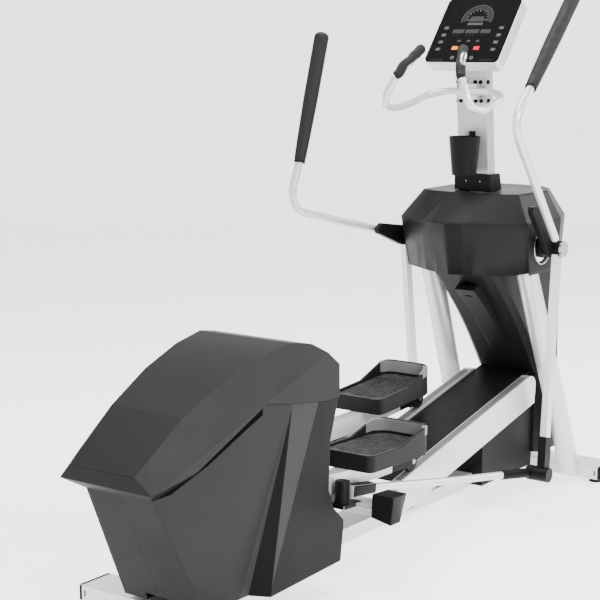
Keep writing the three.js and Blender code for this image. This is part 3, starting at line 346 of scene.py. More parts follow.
def settled_dust_group():
    """A faint film on faces that look up, thicker in soft patches."""
    tree, given, out = new_group(
        "Settled Dust", [("Amount", "Float", 0.15), ("Scale", "Float", 18.0)], [("Mask", "Float")])
    up = ramp(tree, coordinate(tree, "Normal", "Z"), 0.35, 1.0)
    cloud = noise(tree, object_point(tree), given["Scale"], 6.0)
    film = times(tree, up, ramp(tree, cloud, 0.3, 0.75))
    tree.links.new(times(tree, film, given["Amount"], clamp=True), out["Mask"])
    return tree


def foam_group():
    """Closed-cell foam or rubber skin: small pores and a low, slow unevenness."""
    tree, given, out = new_group(
        "Foam Skin", [("Pore Scale", "Float", 1500.0)], [("Height", "Float"), ("Cloud", "Float")])
    point = object_point(tree)
    pores = node(tree, "ShaderNodeTexVoronoi", {"Vector": point, "Scale": given["Pore Scale"]})
    slow = noise(tree, point, 45.0, 4.0)
    dents = ramp(tree, pores.outputs["Distance"], 0.0, 0.5, 0.0, 0.5)
    tree.links.new(math_node(tree, "ADD", dents, times(tree, slow, 0.5)), out["Height"])
    tree.links.new(slow, out["Cloud"])
    return tree


# ------------------------------------------------------------------ finishes


GROUPS = {}
MATERIALS = {}
DUST = (0.46, 0.45, 0.43, 1)
FOAM_DUST = (0.4, 0.39, 0.37, 1)
GRAIN_DEPTH = 0.0004


def use(tree, group, **inputs):
    """Places a shared effect with its own values."""
    named = {key.replace("_", " "): value for key, value in inputs.items()}
    return node(tree, "ShaderNodeGroup", named, node_tree=GROUPS[group]).outputs


def new_material(name):
    material = bpy.data.materials.new(name)
    material.use_nodes = True
    MATERIALS[name] = material
    return material.node_tree, material.node_tree.nodes["Principled BSDF"]


def scaled(colour, factor):
    return tuple(min(1.0, c * factor) for c in colour[:3]) + (1.0,)


def clouded(tree, mask, colour, dark, light, low=0.3, high=0.7):
    """A colour that drifts between a darker and a lighter tone."""
    return mix_colour(tree, ramp(tree, mask, low, high), scaled(colour, dark), scaled(colour, light))


def surface(name, colour, rough, *, metallic=0.0, grain=900.0, depth=0.15, cloud=0.10, edge=0.35,
            edge_light=1.6, radius=0.002, dust=0.10, coat=0.0, specular=0.5, ior=1.45):
    """A moulded or painted surface: grain, cloudy tone, rounded edges that wear lighter, and settled dust."""
    tree, shader = new_material(name)
    wear = use(tree, "Edge Wear", Radius=radius, Strength=edge)
    skin = use(tree, "Moulded Grain", Scale=grain)
    film = use(tree, "Settled Dust", Amount=dust)
    base = clouded(tree, skin["Cloud"], colour, 1 - cloud, 1 + cloud)
    base = mix_colour(tree, wear["Mask"], base, scaled(colour, edge_light))
    tone = ramp(tree, skin["Cloud"], 0.25, 0.75, rough - 0.06, rough + 0.06)
    connect(tree, shader, {
        "Base Color": mix_colour(tree, film["Mask"], base, DUST),
        "Roughness": math_node(tree, "ADD", tone, times(tree, film["Mask"], 0.4), clamp=True),
        "Normal": bump(tree, skin["Height"], wear["Normal"], depth, GRAIN_DEPTH),
        "Metallic": metallic, "Coat Weight": coat, "Coat Roughness": 0.12,
        "Specular IOR Level": specular, "IOR": ior,
    })
    return tree, shader


def brushed_metal(name, colour, rough, stretch):
    tree, shader = new_material(name)
    wear = use(tree, "Edge Wear", Radius=0.0015, Strength=0.3)
    lines = use(tree, "Brushed Lines", Stretch=stretch)
    base = mix_colour(tree, lines["Streak"], scaled(colour, 0.88), scaled(colour, 1.08))
    connect(tree, shader, {
        "Base Color": mix_colour(tree, wear["Mask"], base, scaled(colour, 1.3)),
        "Roughness": ramp(tree, lines["Streak"], 0, 1, rough, rough + 0.14),
        "Normal": bump(tree, lines["Height"], wear["Normal"], 0.12, 0.0002),
        "Metallic": 1.0,
    })


def foam(name, colour, rough, pores=1500.0):
    tree, shader = new_material(name)
    skin = use(tree, "Foam Skin", Pore_Scale=pores)
    film = use(tree, "Settled Dust", Amount=0.10, Scale=40.0)
    wear = use(tree, "Edge Wear", Radius=0.0015, Strength=0.25)
    base = clouded(tree, skin["Cloud"], colour, 0.85, 1.18)
    base = mix_colour(tree, wear["Mask"], base, scaled(colour, 1.5))
    connect(tree, shader, {
        "Base Color": mix_colour(tree, film["Mask"], base, FOAM_DUST),
        "Roughness": ramp(tree, skin["Cloud"], 0.3, 0.7, rough - 0.05, rough + 0.07),
        "Normal": bump(tree, skin["Height"], wear["Normal"], 0.5, 0.0003),
        "Specular IOR Level": 0.18,
    })


def print_ink(name, colour, rough=0.35):
    tree, shader = new_material(name)
    speck = noise(tree, object_point(tree), 700.0, 3.0)
    connect(tree, shader, {
        "Base Color": clouded(tree, speck, colour, 0.85, 1.1, 0.35, 0.65),
        "Roughness": ramp(tree, speck, 0.3, 0.7, rough - 0.05, rough + 0.1),
        "IOR": 1.15,
    })


def gloss_panel(name):
    """Smoked acrylic over black print, with faint smears in the gloss."""
    tree, shader = new_material(name)
    smear = noise(tree, object_point(tree, (1, 1.6, 1)), 14.0, 7.0, Distortion=1.2)
    film = use(tree, "Settled Dust", Amount=0.03, Scale=60.0)
    connect(tree, shader, {
        "Base Color": mix_colour(tree, film["Mask"], (0.0006, 0.0006, 0.0007, 1), (0.05, 0.05, 0.05, 1)),
        "Roughness": ramp(tree, smear, 0.35, 0.7, 0.16, 0.30),
        "Specular IOR Level": 0.2, "IOR": 1.12,
    })


def cover_plastic(name, colour, rough, **more):
    """Moulded cover plastic, with the colour that is still to be toned."""
    tree, shader = surface(name, colour, rough, radius=0.004, dust=0.01, specular=0.3, ior=1.22, **more)
    return tree, shader, shader.inputs["Base Color"].links[0].from_socket


def crown_plastic(name, colour, rough):
    """The rear crown: moulded plastic, with painted shade that darkens its top and rear faces against its
    flanks, and dark painted shade on faces under its lip.
    """
    tree, shader, plain = cover_plastic(name, colour, rough, edge=0.15)
    # Painted shade: faces that don't look sideways, the top and rear, get a darker copy of the colour.
    sideways = math_node(tree, "ABSOLUTE", coordinate(tree, "Normal", "Y"))
    toned = mix_colour(tree, ramp(tree, sideways, 0.25, 0.5), scaled(colour, 0.72), plain)
    # Painted shade: faces that look down, under the crown's lip, get a much darker copy of the colour.
    under = ramp(tree, coordinate(tree, "Normal", "Z"), -0.05, -0.25)
    connect(tree, shader, {"Base Color": mix_colour(tree, under, toned, scaled(colour, 0.15))})


# The slanted band of painted highlight on a side cover, as X at the sill and at the shoulder
BAND_LOW, BAND_HIGH = 0.08, 0.605
BAND_REAR, BAND_FRONT = (-0.795, -0.618), (-0.740, -0.500)
BAND_BLUR = 0.002


def housing_plastic(name, colour, rough, band_highlight_colour):
    """The side covers: a painted highlight on the slanted band from sill to shoulder, painted shade on the
    cover in front of the band, and painted shade on faces that look to the rear.
    """
    tree, shader, plain = cover_plastic(name, colour, rough)
    height = coordinate(tree, "Object", "Z")
    along = coordinate(tree, "Object", "X")
    past = [math_node(tree, "SUBTRACT", along, ramp(tree, height, BAND_LOW, BAND_HIGH, *line))
            for line in (BAND_REAR, BAND_FRONT)]
    # Painted highlight: a lighter tone on the slanted band, where the raised face catches the light.
    band = times(tree, ramp(tree, past[0], -BAND_BLUR, BAND_BLUR), ramp(tree, past[1], BAND_BLUR, -BAND_BLUR))
    toned = mix_colour(tree, times(tree, band, 0.9), plain, band_highlight_colour)
    # Painted shade: the part of the cover in front of the band gets a darker copy of the colour.
    toned = mix_colour(tree, ramp(tree, past[1], -BAND_BLUR, BAND_BLUR), toned, scaled(colour, 0.38))
    # Painted shade: faces that look to the rear get a darker copy of the colour.
    rear_face_shade = ramp(tree, coordinate(tree, "Normal", "X"), -0.6, -0.85)
    connect(tree, shader, {"Base Color": mix_colour(tree, rear_face_shade, toned, scaled(colour, 0.5))})


# ------------------------------------------------------------------ settings


def paint(name, description, default):
    return bpy.props.FloatVectorProperty(
        name=name, description=description, subtype="COLOR", size=3, min=0, max=1, default=default)


def distance(name, description, default, least, most):
    return bpy.props.FloatProperty(
        name=name, description=description, default=default, min=least, max=most,
        subtype="DISTANCE", unit="LENGTH")


class TRAINER_PG_colours(bpy.types.PropertyGroup):
    """Colours a user is likely to change."""
    pearl: paint("Frame paint", "Pearl paint on the welded frame, arms and bars", (0.60, 0.595, 0.59))
    charcoal: paint("Covers", "Moulded covers over the head and column", (0.0085, 0.0085, 0.0088))
    housing: paint("Rear housing", "Side covers and crown of the rear housing", (0.0180, 0.0180, 0.0184))
    black: paint("Fittings", "Black fittings, caps and collars", (0.0040, 0.0040, 0.0042))
    grip: paint("Grips", "Foam on the handlebars and pulse bar", (0.0080, 0.0080, 0.0083))
    start: paint("Start key", "Colour of the start key", (0.80, 0.19, 0.008))
    stop: paint("Stop key", "Colour of the stop key", (0.55, 0.002, 0.025))


class TRAINER_PG_sizes(bpy.types.PropertyGroup):
    """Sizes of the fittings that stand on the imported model."""
    cap_slot: distance("Cap slots", "How far in from a stabiliser's end its slots stand", 0.016, 0.006, 0.05)
    strip: distance("Rail strip", "Width of the running strip on each rail", 0.024, 0.01, 0.03)
    ring: distance("Shoulder ring", "Radius of the trim round each shoulder opening", 0.060, 0.04, 0.08)
    rib: distance("Mat rib", "Height of the ribs on the pedal mats", 0.0018, 0.0005, 0.004)


def settings(context):
    return context.scene.trainer_colours, context.scene.trainer_sizes


# ------------------------------------------------------------------ materials


CAD_MATERIALS = {
    "pearl": ("rear_stabiliser", "front_stabiliser", "base_beam", "ramp_frame", "leg_frame", "pulse_bar",
              "pedal_arm_left", "pedal_arm_right", "handle_tube_left", "handle_tube_right",
              "swing_arm_left", "swing_arm_right", "pull_rod_left", "pull_rod_right"),
    "mast_steel": ("console_mast", "upright_post"),
    "steel": ("drive_frame", "crank_set", "flywheel", "roller_axle_left", "roller_axle_right"),
    "chrome": ("pivot_shaft",),
    "silver_plastic": ("console_housing",),
    "head": ("head_cover",),
    "charcoal": ("column_cover", "pedal_left", "pedal_right"),
    "crown": ("rear_crown",),
    "housing": ("rear_cover_left", "rear_cover_right"),
    "black": ("ramp_cover", "mast_collar", "bottle_holder", "base_cover", "drive_pulley", "brake_magnet",
              "roller_fork_left", "roller_fork_right", "outrigger_cover_left", "outrigger_cover_right",
              "handle_bracket_left", "handle_bracket_right", "swing_boot_left", "swing_boot_right"),
    "rubber": ("rear_foot_left", "rear_foot_right", "front_foot_left", "front_foot_right", "drive_belt",
               "roller_left", "roller_right", "pedal_mat_left", "pedal_mat_right",
               "handle_grip_left", "handle_grip_right", "pulse_grip_left", "pulse_grip_right"),
    "gloss": ("console_panel",),
    "start": ("start_key",),
    "stop": ("stop_key",),
}


# Faces that meet at more than this many degrees keep a hard edge
HARD_ANGLE = {"crown": 9, "housing": 5, "head": 13, "charcoal": 20}
USUAL_HARD_ANGLE = 26


def finish_cad_node(obj, material):
    """Smooth shading with hard edges kept, and a node material in every slot."""
    custom = obj.data.attributes.get("custom_normal")
    if custom:
        obj.data.attributes.remove(custom)
    for polygon in obj.data.polygons:
        polygon.use_smooth = True
    weld = obj.modifiers.new("Weld corners", "WELD")
    weld.merge_threshold = 1e-5
    split = obj.modifiers.new("Hard edges", "EDGE_SPLIT")
    split.split_angle = math.radians(HARD_ANGLE.get(material, USUAL_HARD_ANGLE))
    for slot in obj.material_slots:
        slot.material = MATERIALS[material]


class TRAINER_OT_materials(bpy.types.Operator):
    """Make every node material and put one on each CAD node"""
    bl_idname = "trainer.materials"
    bl_label = "Materials"

    def execute(self, context):
        c = settings(context)[0]
        GROUPS.update({
            "Edge Wear": edge_wear_group(), "Moulded Grain": moulded_grain_group(),
            "Brushed Lines": brushed_group(), "Settled Dust": settled_dust_group(), "Foam Skin": foam_group(),
        })
        surface("pearl", c.pearl, 0.32, metallic=0.45, grain=260.0, depth=0.05, cloud=0.02, edge=0.12,
                edge_light=1.15, radius=0.0035, dust=0.05, coat=0.35)
        surface("charcoal", c.charcoal, 0.42, radius=0.004, edge=0.25, dust=0.01, specular=0.3, ior=1.25)
        crown_plastic("crown", scaled(c.housing, 1.15), 0.46)
        housing_plastic("housing", c.housing, 0.50, scaled(c.housing, 1.7))
        surface("head", c.charcoal, 0.42, radius=0.016, edge=0.10, dust=0.01, specular=0.3, ior=1.25)
        surface("black", c.black, 0.45, radius=0.003, dust=0.01, specular=0.3, ior=1.25)
        surface("silver_plastic", (0.62, 0.63, 0.64), 0.30, metallic=0.35, grain=500.0, depth=0.05,
                cloud=0.03, edge=0.15, edge_light=1.3, radius=0.004, dust=0.04, coat=0.2)
        surface("toe_rim", (0.15, 0.15, 0.155), 0.38, grain=700.0, cloud=0.04, edge=0.25, radius=0.003,
                dust=0.05)
        surface("strip", (0.10, 0.10, 0.105), 0.5, grain=400.0, radius=0.0006, dust=0.05)
        for key, colour in (("start", c.start), ("stop", c.stop)):
            tree, shader = surface(key, colour, 0.5, grain=1500.0, depth=0.05, cloud=0.04, radius=0.0006,
                                   dust=0.0, specular=0.1)
            # Painted light: each key glows faintly in its own colour, though it holds no lamp.
            connect(tree, shader, {"Emission Color": scaled(colour, 1), "Emission Strength": 0.08})
        brushed_metal("steel", (0.42, 0.43, 0.45), 0.28, (900.0, 6.0, 900.0))
        brushed_metal("chrome", (0.45, 0.46, 0.47), 0.16, (300.0, 300.0, 20.0))
        surface("mast_steel", (0.42, 0.42, 0.43), 0.36, metallic=0.45, grain=300.0, depth=0.05, cloud=0.04,
                edge=0.2, edge_light=1.3, radius=0.004, dust=0.03, coat=0.25)
        foam("grip", c.grip, 0.62)
        foam("rubber", (0.006, 0.006, 0.0065), 0.66, 900.0)
        foam("mat", (0.004, 0.004, 0.0045), 0.58, 1100.0)
        gloss_panel("gloss")
        print_ink("ink_grey", (0.050, 0.050, 0.052))
        print_ink("ink_light", (0.17, 0.17, 0.175))
        print_ink("ink_dim", (0.010, 0.010, 0.011))
        print_ink("display", (0.020, 0.021, 0.021), 0.25)
        named = {n: m for m, nodes in CAD_MATERIALS.items() for n in nodes}
        missing = sorted(set(FRAME["nodes"]) - set(named))
        if missing:
            raise RuntimeError(f"these CAD nodes have no material: {missing}")
        for name, obj in FRAME["nodes"].items():
            finish_cad_node(obj, named[name])
        return {"FINISHED"}


# ------------------------------------------------------------------ soft pieces


GRIP_LOW, GRIP_HIGH = (-0.465, 0.365, 0.445), (-0.238, 0.354, 0.823)
GRIP_TUBE_RADIUS, GRIP_TOP_RADIUS = 0.019, 0.0245
GRIP_DOME = 0.0172
GRIP_STEPS, DOME_STEPS = 60, 8


def grip_radius(t):
    """A handlebar grip's radius along its length: slim at the tube, grooved there, and fuller above."""
    fuller = (GRIP_TOP_RADIUS - GRIP_TUBE_RADIUS) * min(1.0, t / 0.5) ** 0.8 * 0.85
    groove = 0.0012 * math.exp(-((t - 0.02) / 0.012) ** 2)
    return GRIP_TUBE_RADIUS + fuller + 0.0008 * t - groove


def grip_parting(angle):
    """A fine line moulded along both sides of a handlebar grip."""
    return 1 - 0.035 * math.exp(-(abs(math.sin(angle)) / 0.05) ** 2)


def pulse_parting(angle):
    """A fine line moulded along both sides of a pulse grip."""
    return 1 - 0.04 * math.exp(-(abs(math.cos(angle)) / 0.06) ** 2)


class TRAINER_OT_grips(bpy.types.Operator):
    """Moulded foam grips on the two handlebars, with a parting line and a ferrule at the tube"""
    bl_idname = "trainer.grips"
    bl_label = "Handlebar grips"

    def execute(self, context):
        for side, sign in SIDES:
            low, high = (Vector((x, sign * y, z)) for x, y, z in (GRIP_LOW, GRIP_HIGH))
            way = (high - low).normalized()
            path, radii = self.middle_line(low, high, way)
            bm = bmesh.new()
            add_tube(bm, path, radii, 48, HANDLE[side], grip_parting)
            grip = mesh_object(f"grip_{side}", bm, "grip", f"{side}_swing")
            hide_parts(f"handle_grip_{side}")
            bm = bmesh.new()
            add_tube(bm, [low - way * 0.004, low + way * 0.003], 0.0192, 32, HANDLE[side])
            mesh_object(f"grip_ferrule_{side}", bm, "black", f"{side}_swing", 0.0008)
        return {"FINISHED"}

    @staticmethod
    def middle_line(low, high, way):
        """Points and radii along a grip, which ends in a dome."""
        steps = [i / GRIP_STEPS for i in range(GRIP_STEPS + 1)]
        path = [low + (high - low) * t - way * GRIP_DOME * t for t in steps]
        radii = [grip_radius(t) for t in steps]
        shoulder = radii[-1]
        for i in range(1, DOME_STEPS + 1):
            a = math.pi / 2 * i / DOME_STEPS
            path.append(high - way * GRIP_DOME * (1 - math.sin(a)))
            radii.append(max(shoulder * math.cos(a), 0.0006))
        return path, radii


PULSE_Z = 1.430
PULSE_X = mast_rear(PULSE_Z) - 0.030


class TRAINER_OT_pulse_grips(bpy.types.Operator):
    """Rubber grips on the pulse bar, each with two bright contact plates"""
    bl_idname = "trainer.pulse_grips"
    bl_label = "Pulse grips"

    def execute(self, context):
        for side, sign in SIDES:
            end = Vector((PULSE_X - 0.254, sign * 0.127, PULSE_Z + 0.050))
            top = Vector((PULSE_X - 0.158, sign * 0.076, PULSE_Z + 0.153))
            path = self.route(side, end, top)
            radii = [0.0165 - 0.0022 * math.exp(-(i / len(path) / 0.05) ** 2) for i in range(len(path))]
            radii[-1], radii[-2], radii[-3] = 0.003, 0.0105, 0.0145
            bm = bmesh.new()
            add_tube(bm, path, radii, 40, None, pulse_parting)
            grip = mesh_object(f"pulse_grip_cover_{side}", bm, "grip", "frame")
            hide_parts(f"pulse_grip_{side}")
            self.plates(side, path)
        return {"FINISHED"}

    @staticmethod
    def route(side, end, top):
        """The middle line of the CAD grip, found from its slices."""
        mesh = FRAME["nodes"][f"pulse_grip_{side}"].data
        points = [v.co.copy() for v in mesh.vertices]
        chord = (top - end).normalized()
        spans = sorted(set(round((p - end).dot(chord), 4) for p in points))
        low, high = spans[0], spans[-1]
        middle = []
        slices = 9
        for i in range(slices):
            a, b = (low + (high - low) * k / slices for k in (i, i + 1))
            near = [p for p in points if a - 0.004 <= (p - end).dot(chord) <= b + 0.004]
            if len(near) > 6:
                corner_low = Vector([min(p[k] for p in near) for k in range(3)])
                corner_high = Vector([max(p[k] for p in near) for k in range(3)])
                middle.append((corner_low + corner_high) / 2)
        return spline([middle[0] - chord * 0.006, *middle[1:-1], middle[-1] + chord * 0.006], 40)

    @staticmethod
    def plates(side, path):
        """Two bright plates let into opposite faces of a grip."""
        first, last = int(len(path) * 0.28), int(len(path) * 0.70)
        lean = 0.55 if side == "right" else -0.55
        for face, turn in (("front", lean), ("rear", math.pi + lean)):
            rings = []
            for i in range(first, last):
                tangent = (path[i + 1] - path[i - 1]).normalized()
                side_way = tangent.cross(Vector((0, 0, 1))).normalized()
                normal = side_way.cross(tangent)
                wide = math.radians(36) * min(1.0, 0.45 + 3 * min(i - first, last - 1 - i) / (last - first))
                ring = []
                for radius in (0.0172, 0.0160):
                    order = range(9) if radius > 0.0165 else range(8, -1, -1)
                    for k in order:
                        a = turn + wide * (k / 4 - 1)
                        ring.append(path[i] + (normal * math.cos(a) + side_way * math.sin(a)) * radius)
                rings.append(ring)
            lofted(f"pulse_plate_{face}_{side}", rings, "chrome", "frame", bevel=0.0004)


class TRAINER_OT_pedal_mats(bpy.types.Operator):
    """Ribbed rubber mats and the lighter toe rims on the two pedals"""
    bl_idname = "trainer.pedal_mats"
    bl_label = "Pedal mats and rims"

    @staticmethod
    def plan(inset, steps=7):
        """The pedal's outline seen from above, pulled in by an inset."""
        l, w, r = PEDAL_LENGTH / 2 - inset, PEDAL_WIDTH / 2 - inset, 0.026 - inset / 2

        def bend(a, b, c):
            return [tuple((1 - t) ** 2 * a[k] + 2 * t * (1 - t) * b[k] + t * t * c[k] for k in (0, 1))
                    for t in (i / steps for i in range(steps + 1))]

        return (bend((-l, -w + r), (-l, -w), (-l + r, -w))
                + bend((l - 0.070, -w), (l, -w + 0.004), (l, -w + 0.052))
                + bend((l, w - 0.040), (l, w), (l - 0.034, w))
                + bend((-l + r, w), (-l, w), (-l, w - r)))

    def execute(self, context):
        rib = settings(context)[1].rib
        for side, sign in SIDES:
            frame = PEDAL[side] @ Matrix.Diagonal((1, sign, 1, 1))
            self.mat(side, frame, rib)
            self.rim(side, frame)
        return {"FINISHED"}

    def mat(self, side, frame, rib):
        bm = bmesh.new()
        outer = self.plan(0.0105)
        levels = ((0.0345, 0.0), (0.0430, 0.0), (0.0452, 0.0012), (0.0456, 0.0040))
        rings = [[(x * (1 - d / 0.15), y * (1 - d / 0.09), z) for x, y in outer] for z, d in levels]
        add_loft(bm, rings, frame)
        for i in range(9):
            y = -0.064 + 0.016 * i
            long = 0.118 - 0.016 * (abs(i - 4) / 4) ** 3
            outline = rounded_box(2 * long, 0.0075, 0.0036, -0.012, y, 4)
            levels = ((0.0450, 1.0), (0.0456 + rib * 0.7, 0.98), (0.0456 + rib, 0.93))
            add_loft(bm, [[(*p, z) for p in self.shrunk(outline, -0.012, y, s)] for z, s in levels], frame)
        mat = mesh_object(f"mat_{side}", bm, "mat", f"{side}_pedal", smooth=False)
        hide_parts(f"pedal_mat_{side}")

    @staticmethod
    def shrunk(outline, u, v, s):
        """A rib's outline drawn in across its width, and a little along its length."""
        return [(u + (a - u) * (1 - (1 - s) * 0.12), v + (b - v) * s) for a, b in outline]

    @staticmethod
    def wall_top(x):
        """The height of a pedal's wall, which climbs towards the toe."""
        back, front = PEDAL_LENGTH / 2 - 0.160, PEDAL_LENGTH / 2 - 0.030
        low, high = 0.052, 0.090
        return low + (high - low) * max(0.0, min(1.0, (x - back) / (front - back)))

    def rim(self, side, frame):
        """A lighter insert that caps the tall wall round the toe."""
        outer, inner = self.plan(-0.0012), self.plan(0.0094)
        both = [(o, i) for o, i in zip(outer, inner) if o[0] > 0.045]
        dense = []
        for here, after in zip(both, both[1:]):
            for t in (0, 0.25, 0.5, 0.75):
                dense.append([[p + (q - p) * t for p, q in zip(a, b)] for a, b in zip(here, after)])
        dense.append(both[-1])
        rings = []
        for o, n in dense:
            h = self.wall_top(o[0])
            skirt = 0.006 + 0.020 * max(0.0, min(1.0, (o[0] - 0.045) / 0.10))
            foot = max(0.047, h - skirt - 0.012)
            rings.append([(*o, h - skirt), (*o, h + 0.0018), (*n, h + 0.0018), (*n, foot)])
        lofted(f"toe_rim_{side}", rings, "toe_rim", f"{side}_pedal", frame, bevel=0.0009)


# ------------------------------------------------------------------ console


class TRAINER_OT_console(bpy.types.Operator):
    """Printed keys, windows, gauge and icons on the console's glossy face"""
    bl_idname = "trainer.console"
    bl_label = "Console face"

    KEY_ROWS = (0.057, 0.0875, 0.118, 0.149)

    def execute(self, context):
        self.keys()
        self.windows()
        self.gauge()
        self.icons()
        return {"FINISHED"}

    @staticmethod
    def ink(name, outlines, material, low=0.0, high=0.0006):
        """Thin print or key faces on the console, drawn out from its surface."""
        bm = bmesh.new()
        for outline in outlines:
            add_prism(bm, outline, low, high, "Z", CONSOLE)
        mesh_object(name, bm, material, "frame", 0.00015, 1)

    def keys(self):
        places = [(side * 0.107, v) for side in (-1, 1) for v in self.KEY_ROWS]
        faces = [rounded_box(0.018, 0.0125, 0.0025, u, v) for u, v in places]
        self.ink("console_keys", faces, "ink_grey", 0.0, 0.0011)
        marks = []
        for i, (u, v) in enumerate(places):
            if i % 4 in (0, 3):
                marks.append(rounded_box(0.008, 0.0012, 0.0005, u, v))
            if i % 4 == 0:
                marks.append(rounded_box(0.0012, 0.0052, 0.0005, u, v))
            if i % 4 in (1, 2):
                turn = 1 if i % 4 == 1 else -1
                foot = v - 0.0022 * turn
                marks.append([(u - 0.0035, foot), (u + 0.0035, foot), (u, v + 0.0028 * turn)])
        self.ink("console_key_marks", marks, "ink_light", 0.0009, 0.0013)
        small = [rounded_box(0.016, 0.011, 0.002, u, 0.092) for u in (-0.036, 0.0, 0.036)]
        self.ink("console_mode_keys", small, "ink_dim", 0.0, 0.0011)
        ticks = [rounded_box(0.0085, 0.0014, 0.0006, u, 0.092) for u in (-0.036, 0.0, 0.036)]
        self.ink("console_mode_marks", ticks, "ink_light", 0.0009, 0.0013)

    def windows(self):
        spans = ((-0.077, -0.033), (-0.027, 0.025), (0.031, 0.070))
        glass = [rounded_box(b - a, 0.0165, 0.001, (a + b) / 2, 0.1345) for a, b in spans]
        self.ink("console_windows", glass, "display")
        dashes = []
        for a, b in spans:
            for row in (0.1205, 0.1150):
                dashes += [rounded_box(0.010, 0.0014, 0.0006, a + 0.008 + 0.0135 * k, row)
                           for k in range(int((b - a - 0.004) / 0.0135))]
        self.ink("console_window_rules", dashes, "ink_dim", 0.0, 0.0004)

    def gauge(self):
        u, v = -0.002, 0.190
        self.ink("console_gauge_band", [sector(0.043, 0.058, -16, 196, u, v, 48)], "ink_dim", 0.0, 0.0004)
        self.ink("console_gauge_edge", [sector(0.0575, 0.0595, -18, 198, u, v, 48),
                                        sector(0.041, 0.0425, -18, 198, u, v, 48)], "ink_grey", 0.0, 0.0007)
        ticks = []
        for i in range(11):
            a = math.radians(-8 + 196 * i / 10)
            inner = 0.0345 if i % 5 else 0.031
            across = Vector((-math.sin(a), math.cos(a))) * 0.0008
            p, q = (Vector((math.cos(a), math.sin(a))) * r for r in (inner, 0.039))
            ticks.append([(u + w.x, v + w.y) for w in (p - across, q - across, q + across, p + across)])
        self.ink("console_gauge_ticks", ticks, "ink_light", 0.0, 0.0006)
        window = [(u + across, v + up) for across, up in (
            (-0.031, -0.013), (0.031, -0.013), (0.024, 0.009), (-0.024, 0.009))]
        self.ink("console_gauge_window", [window], "display")
        base = rounded_box(0.058, 0.010, 0.002, u, v - 0.0235)
        self.ink("console_gauge_base", [base], "ink_grey", 0.0, 0.0007)

    def icons(self):
        rings = [sector(0.0052, 0.0068, 0, 359.9, u, 0.021, 28) for u in (-0.037, 0.037)]
        arrows = [[(u - 0.0018, 0.0185), (u + 0.0026, 0.021), (u - 0.0018, 0.0235)] for u in (-0.037, 0.037)]
        self.ink("console_ring_icons", rings + arrows, "ink_light", 0.0, 0.0006)
        bars = [rounded_box(0.050, 0.0016, 0.0007, u, v)
                for u in (-0.096, 0.094) for v in (0.0085, 0.0120, 0.0155)]
        self.ink("console_corner_rules", bars, "ink_dim", 0.0, 0.0004)


# ------------------------------------------------------------------ frame fittings


# Each stabiliser's name, middle X, depth and half width
STABILISERS = (("rear", -0.8855, 0.121, 0.313), ("front", 1.122, 0.120, 0.341))
STABILISER_Z, STABILISER_HEIGHT = 0.046, 0.046


class TRAINER_OT_stabiliser_caps(bpy.types.Operator):
    """Moulded end caps on the two stabilisers, each with a slot mark"""
    bl_idname = "trainer.stabiliser_caps"
    bl_label = "Stabiliser caps"

    def execute(self, context):
        inset = settings(context)[1].cap_slot
        for label, middle, depth, half in STABILISERS:
            for side, sign in SIDES:
                self.cap(f"{label}_cap_{side}", middle, depth, sign * half, sign)
                bm = bmesh.new()
                slot = rounded_box(0.005, 0.020, 0.0022, sign * (half - inset), STABILISER_Z)
                for face in (-1, 1):
                    x = middle + face * (depth / 2 + 0.0002)
                    add_prism(bm, slot, x - 0.0006, x + 0.0006, "X")
                mesh_object(f"{label}_cap_slots_{side}", bm, "black", "frame")
        return {"FINISHED"}

    @staticmethod
    def cap(name, middle, depth, end, sign):
        """A cap that grips the tube's end, stands a little proud and draws in at its face."""
        def level(grow, radius, out):
            outline = rounded_box(depth + grow, STABILISER_HEIGHT + grow, radius, middle, STABILISER_Z)
            return [(x, end + sign * out, z) for x, z in outline]

        rings = [level(0.0004, 0.005, -0.004), level(0.0024, 0.006, -0.004), level(0.0024, 0.006, 0.004),
                 level(-0.004, 0.006, 0.007)]
        lofted(name, rings, "black", "frame", bevel=0.0008)


class TRAINER_OT_running_strips(bpy.types.Operator):
    """Hard running strips along the tops of the two rails"""
    bl_idname = "trainer.running_strips"
    bl_label = "Running strips"

    def execute(self, context):
        width = settings(context)[1].strip
        for side, sign in SIDES:
            low, high = (sign * RAIL_MIDDLE + across for across in (-width / 2, width / 2))
            profile = [(low, 0.0002), (high, 0.0002), (high - 0.0008, 0.0017), (low + 0.0008, 0.0017)]
            rings = [[(x, *p) for p in profile] for x in (-0.075, 0.78)]
            lofted(f"running_strip_{side}", rings, "strip", "frame", RAMP, bevel=0.0003)
        return {"FINISHED"}


class TRAINER_OT_shoulder_trims(bpy.types.Operator):
    """Bright rings round the head cover's shoulder openings, and the boots on the pivot shaft"""
    bl_idname = "trainer.shoulder_trims"
    bl_label = "Shoulder trims"

    def execute(self, context):
        radius = settings(context)[1].ring
        for side, sign in SIDES:
            bm = bmesh.new()
            steps = 48
            turns = [math.radians(20 - 275 * i / steps) for i in range(steps + 1)]
            path = [(PIVOT_X + radius * math.sin(a), sign * 0.2512, PIVOT_Z + 0.002 + radius * math.cos(a))
                    for a in turns]
            add_tube(bm, path, 0.0018, 12)
            mesh_object(f"shoulder_ring_{side}", bm, "chrome", "frame")
            profile = ((0.030, 0.212), (0.0315, 0.212), (0.0315, 0.236), (0.0325, 0.237), (0.0325, 0.258),
                       (0.031, 0.2605), (0.0135, 0.2605))
            rings = [[(x, sign * y, z) for x, z in disc(r, PIVOT_X, PIVOT_Z, 40)] for r, y in profile]
            lofted(f"shoulder_boot_{side}", rings, "black", "frame")
        return {"FINISHED"}


